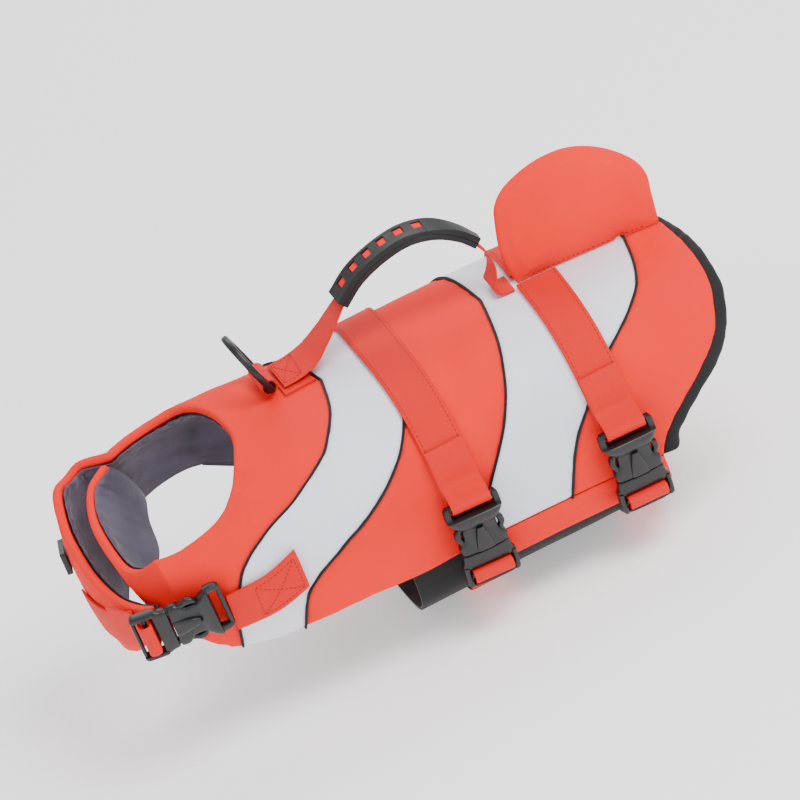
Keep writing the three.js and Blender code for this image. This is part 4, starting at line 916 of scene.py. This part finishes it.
t = np.linspace(0, 1, 24)[None, :]
patchGirth = handle["patchNear"] + (handle["patchFar"] - handle["patchNear"]) * s + 0 * t
patchSeam = seamPlace("bandFrontFore", patchGirth / lowerGirth(handle["patchFrom"], 1.0))
patchX = handle["patchFrom"] + (patchSeam - 2.6 - handle["patchFrom"]) * t
piece = shell("handle_patch_webbing", over(patchX, patchGirth, np.full(patchX.shape, 2.0)),
              over(patchX, patchGirth, np.full(patchX.shape, 0.4)), orangeWebbing)
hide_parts("handle_patch")
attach(piece, "jacket")
handleTable = np.asarray(handle["line"], float)
handleCentres = handleTable[:, :3] + np.array([0, 0, body["back"] + 0.9])
handleLine, handleSide, handleNormal = addRibbon(
    "handle_webbing_strap", "handle_webbing", handleCentres, np.array([[0, 1.0, 0]] * len(handleCentres)),
    handleTable[:, 3], 1.6, 10)

gripLine = smoothPath(handleCentres[grip["fromRow"]:grip["toRow"] + 1], 30)
gripRun = pathLength(gripLine) / pathLength(gripLine)[-1]


def gripHalf(share):
    return grip["half"] - (grip["half"] - grip["tipHalf"]) * ease(grip["slotted"], 1.12, share)


def gripBlock(start, stop, left, right, low, high, rows=8, bevel=0.6):
    # bar along the grip: eight-cornered section, its sides given as functions of the share of the length
    at = np.linspace(start, stop, rows)
    centre = np.stack([np.interp(at, gripRun, gripLine[:, k]) for k in range(3)], -1)
    upward = unit(np.cross(unit(np.gradient(centre, axis=0)), np.array([0, 1.0, 0])))
    a, b = left(at), right(at)
    section = [(a + bevel, low), (b - bevel, low), (b, low + bevel), (b, high - bevel), (b - bevel, high),
               (a + bevel, high), (a, high - bevel), (a, low + bevel)]
    points = np.stack([centre + np.stack([0 * y, y, 0 * y], -1) + upward * z for y, z in section], 1)
    faces = quadsOf(rows, 8, wrap=True).tolist()
    faces += [list(range(8)), list(range((rows - 1) * 8, rows * 8))[::-1]]
    return points.reshape(-1, 3), faces


def fixed(value):
    return lambda at: value + 0 * at


def nearSide(at):
    return -gripHalf(at)


farSide = gripHalf
slotAt = grip["slotFirst"] + grip["slotPitch"] * np.arange(grip["slots"])
stops = np.concatenate([[0], np.stack([slotAt - grip["slotHalf"], slotAt + grip["slotHalf"]], 1).ravel(),
                        [grip["slotted"]]]).reshape(-1, 2)
gripSolids = [
    gripBlock(0, grip["slotted"], nearSide, fixed(grip["slotNear"]), grip["low"], grip["high"], 40),
    gripBlock(0, grip["slotted"], fixed(grip["slotFar"]), farSide, grip["low"], grip["high"], 40),
    gripBlock(grip["slotted"], 1, nearSide, farSide, grip["low"], grip["high"], 24),
    gripBlock(0, 1, nearSide, lambda at: grip["lipWide"] - gripHalf(at), grip["lip"], grip["low"] + 0.5, 60),
    gripBlock(0, 1, lambda at: gripHalf(at) - grip["lipWide"], farSide, grip["lip"], grip["low"] + 0.5, 60)]
gripSolids += [gripBlock(a, b, fixed(grip["slotNear"] - 0.4), fixed(grip["slotFar"] + 0.4), grip["low"] + 0.1,
                         grip["high"] - 0.12, 6, 0.2) for a, b in stops]
gripPiece = joined("handle_grip_moulded", gripSolids, blackRubber)
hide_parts("handle_grip")
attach(gripPiece, "jacket")
insets = joined("handle_grip_insets", [
    gripBlock(at - grip["slotHalf"] + 0.002, at + grip["slotHalf"] - 0.002, fixed(grip["slotNear"] + 0.1),
              fixed(grip["slotFar"] - 0.1), grip["low"] + 0.1, grip["high"] - 1.2, 4, 0.5) for at in slotAt],
                orangeNylon)
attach(insets, "jacket")
print("handle made")

# ---- leash ring ----
ring = {"x": -68, "y": 27.5, "lift": 6.6, "half": 22, "tall": 39, "shoulder": 14, "wide": 6, "thick": 5, "lean": 18}
ringAt = np.array([ring["x"], ring["y"], onBody(float(ring["x"]), ring["y"])[2] + ring["lift"]])
turn = np.linspace(0, np.pi, 40)
arch = np.stack([ring["half"] * np.cos(turn), ring["shoulder"] + (ring["tall"] - ring["shoulder"]) * np.sin(turn)], -1)
bottomX = np.linspace(-ring["half"], ring["half"], 24)
outline = np.concatenate([arch, [(-ring["half"], 8), (-ring["half"] + 0.3, 2.2), (-ring["half"] + 2.2, 0.3)],
                          np.stack([bottomX[3:-3], 0 * bottomX[3:-3]], -1),
                          [(ring["half"] - 2.2, 0.3), (ring["half"] - 0.3, 2.2), (ring["half"], 8)]])
tangent = unit(np.roll(outline, -1, 0) - np.roll(outline, 1, 0))
outwards = np.stack([tangent[:, 1], -tangent[:, 0]], -1)
turn = np.linspace(0, 2 * np.pi, 16, endpoint=False)
c, s = np.cos(turn), np.sin(turn)
flatSide = np.sign(c) * np.abs(c) ** 0.6 * ring["wide"] / 2
flatThick = np.sign(s) * np.abs(s) ** 0.6 * ring["thick"] / 2
ringLocal = np.concatenate([outline[:, None] + outwards[:, None] * flatSide[None, :, None],
                            np.broadcast_to(flatThick[None, :, None], (len(outline), 16, 1))], -1)
lean = np.radians(ring["lean"])
ringPoints = (ringAt + ringLocal[..., :1] * np.array([0, 1.0, 0])
              + ringLocal[..., 1:2] * np.array([-np.sin(lean), 0, np.cos(lean)])
              + ringLocal[..., 2:3] * np.array([np.cos(lean), 0, np.sin(lean)]))
ringFaces = quadsOf(len(outline) + 1, 16, wrap=True) % (len(outline) * 16)
piece = addMesh("leash_ring_moulded", ringPoints, ringFaces.tolist(), blackPlastic)
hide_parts("leash_ring")
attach(piece, "leash_ring")
turn = np.linspace(0, 2 * np.pi, 28, endpoint=False)
tunnelY = np.linspace(-16, 16, 24)
tunnel = [ringAt + np.stack([r * np.cos(turn)[None] + 0 * tunnelY[:, None], tunnelY[:, None] + 0 * turn[None],
                             r * np.sin(turn)[None] + 0 * tunnelY[:, None]], -1) for r in (5.8, 4.5)]
count = len(tunnelY) * len(turn)
tunnelFaces = np.concatenate([quadsOf(24, 28, wrap=True), quadsOf(24, 28, count, wrap=True)[:, ::-1]]).tolist()
k = np.arange(28)
for row in (0, 23):
    a = row * 28 + k
    b = row * 28 + (k + 1) % 28
    strip = np.stack([a, b, b + count, a + count], -1)
    tunnelFaces += (strip if row == 0 else strip[:, ::-1]).tolist()
tunnelUv = np.stack([tunnelY[:, None] / 10 + 0 * turn[None], 0.58 * turn[None] + 0 * tunnelY[:, None]], -1).reshape(-1, 2)
piece = addMesh("ring_tunnel_webbing", np.concatenate([tunnel[0].reshape(-1, 3), tunnel[1].reshape(-1, 3)]),
                tunnelFaces, orangeWebbing, np.concatenate([tunnelUv, tunnelUv]))
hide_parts("ring_tunnel")
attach(piece, "jacket")

# ---- fin ----
fin = {"top": [(112, 14), (113, 30), (116.5, 45), (121, 58), (130, 67), (143, 72.5), (163, 76), (185, 73),
               (206, 60.5), (222.5, 40.5), (226, 27), (224, 14)],
       "base": [(220.5, 0.3), (200, 0.3), (197, 1.9), (190, 1.9), (187, 0.3), (165, 0.3), (140, 0.3), (114.5, 0.3)],
       "centre": (168, 32), "half": 7.0}
baseLine = [(x, float(along(column(body["sections"], 2), x)) + lift) for x, lift in fin["base"]]
topCurve = smoothPath(np.array([baseLine[-1]] + fin["top"] + [baseLine[0]], float), 10)
baseCurve = np.array(baseLine)
baseCurve = np.stack([np.interp(np.linspace(0, 7, 60), np.arange(8), baseCurve[:, k]) for k in (0, 1)], -1)
finOutline = np.concatenate([topCurve[:-1], baseCurve[:-1]])
radial = np.sin(np.linspace(0.04, 0.5, 16) * np.pi)
toRim = 1 - radial
puff = fin["half"] * np.clip(1 - radial ** 3.4, 0, 1) ** 0.6
centre = np.array(fin["centre"], float)
flatFin = centre + (finOutline - centre)[None] * radial[:, None, None]
bulge = puff[:, None] + 0.35 * waves(flatFin[..., 0], flatFin[..., 1], (13, 22)) * (1 - radial[:, None] ** 4)
bulge = np.maximum(bulge - 0.9 * np.exp(-((toRim[:, None] * 45 - 4.5) / 1.3) ** 2), 0.0)


def finSide(sign):
    return np.stack([flatFin[..., 0], sign * bulge, flatFin[..., 1] + body["back"]], -1)


finPoints = np.concatenate([finSide(-1), finSide(1)[-2::-1]])
count = len(finOutline)
finFaces = quadsOf(len(finPoints), count, wrap=True).tolist()
finFaces += [list(range(count)), list(range((len(finPoints) - 1) * count, len(finPoints) * count))[::-1]]
finUv = finPoints[..., [0, 2]].reshape(-1, 2) / 10
finCloth = addMesh("fin_cloth", finPoints, finFaces, orangeNylon, finUv, 70)
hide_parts("fin")
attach(finCloth, "jacket")
finRing, baseFrom = 11, len(topCurve) + 2  # the ring of the stitch line, and the first point of the base
for sign in (-1, 1):
    line = finSide(sign)[finRing, baseFrom:-2]
    stitches.append(stitchRow(line + np.array([0, sign * 0.1, 0]), 0 * line + np.array([0, sign, 0.0])))

# moulded keeper on the far flap
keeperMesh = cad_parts["flap_keeper"].data.copy()
keeperMesh.materials.clear()
keeperMesh.materials.append(blackPlastic)
keeper = bpy.data.objects.new("flap_keeper_moulded", keeperMesh)
bpy.context.scene.collection.objects.link(keeper)
weld = keeper.modifiers.new("weld", "WELD")
weld.merge_threshold = 0.00002
bevel = keeper.modifiers.new("bevel", "BEVEL")
bevel.width = 0.0012
bevel.segments = 3
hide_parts("flap_keeper")
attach(keeper, "jacket")

# box stitch where the handle's webbing is sewn to its patch
def handleTop(points):
    points = np.asarray(points, float)
    at = np.linspace(0, len(points) - 1, 30 * (len(points) - 1))
    row, e = (np.interp(at, np.arange(len(points)), points[:, k]) for k in (0, 1))
    spot, side, normal = (np.stack([np.interp(row * 10, np.arange(len(v)), v[:, k]) for k in range(3)], -1)
                          for v in (handleLine, handleSide, handleNormal))
    return spot + side * e[:, None] - normal * 0.9, -normal


for points in (((0.2, -16), (2.0, -16), (2.0, 16), (0.2, 16), (0.2, -16)), ((0.2, -16), (2.0, 16)),
               ((0.2, 16), (2.0, -16))):
    stitches.append(stitchRow(*handleTop(points), 3.0, 2.1))
addStitches("stitches", stitches, orangeThread)
print("ring, fin, keeper and stitches made")


# ---- camera, light and floor ----
camera = {"azimuth": -7, "elevation": 27, "roll": 24, "aim": (6.6, -17.0, -23.5), "wide": 0.544, "away": 3.0}
right = np.array([0.9925, -0.1219, 0])
upward = np.array([0.0553, 0.4506, 0.8910])
toCamera = np.array([-0.1086, -0.8844, 0.4540])
roll = np.radians(camera["roll"])
rolledRight = np.cos(roll) * right - np.sin(roll) * upward
rolledUp = np.sin(roll) * right + np.cos(roll) * upward
data = bpy.data.cameras.new("photoCamera")
data.type = "ORTHO"
data.ortho_scale = camera["wide"]
data.clip_end = 50
cameraObject = bpy.data.objects.new("photoCamera", data)
bpy.context.scene.collection.objects.link(cameraObject)
place = np.array(camera["aim"]) * mm + toCamera * camera["away"]
cameraObject.matrix_world = Matrix((
    (rolledRight[0], rolledUp[0], toCamera[0], place[0]), (rolledRight[1], rolledUp[1], toCamera[1], place[1]),
    (rolledRight[2], rolledUp[2], toCamera[2], place[2]), (0, 0, 0, 1)))
bpy.context.scene.camera = cameraObject

lights = {  # place, size, power, colour
    "keyLight": ((0.9, -1.0, 1.8), 1.4, 56, "#FFFFFF"),
    "fillLight": ((-1.6, -1.3, 0.9), 2.2, 18, "#F4F6FF"),
    "backLight": ((0.4, 1.6, 1.6), 1.8, 24, "#FFFFFF")}
for name, (spot, size, power, tint) in lights.items():
    lamp = bpy.data.lights.new(name, "AREA")
    lamp.shape = "DISK"
    lamp.size = size
    lamp.energy = power
    lamp.color = linear(tint)[:3]
    lampObject = bpy.data.objects.new(name, lamp)
    bpy.context.scene.collection.objects.link(lampObject)
    lampObject.location = spot
    lampObject.rotation_euler = (Vector((0, 0, -0.05)) - Vector(spot)).to_track_quat("-Z", "Y").to_euler()

world = bpy.data.worlds.new("studio")
world.use_nodes = True
world.node_tree.nodes["Background"].inputs["Color"].default_value = (1, 1, 1, 1)
world.node_tree.nodes["Background"].inputs["Strength"].default_value = 0.75
bpy.context.scene.world = world

floorMaterial, floorTree, floorShader = startMaterial("paleFloor", 0.9, 1.45)
floorShader.inputs["Base Color"].default_value = (0.97, 0.97, 0.97, 1)
floorShader.inputs["Emission Color"].default_value = (1, 1, 1, 1)
floorShader.inputs["Emission Strength"].default_value = 0.45
floorLevel = -168
floorMesh = bpy.data.meshes.new("paleFloor")
floorMesh.from_pydata([(x * 8, y * 8, floorLevel * mm) for x, y in ((-1, -1), (1, -1), (1, 1), (-1, 1))], [],
                      [(0, 1, 2, 3)])
floorMesh.materials.append(floorMaterial)
floor = bpy.data.objects.new("paleFloor", floorMesh)
bpy.context.scene.collection.objects.link(floor)

print("scene ready")
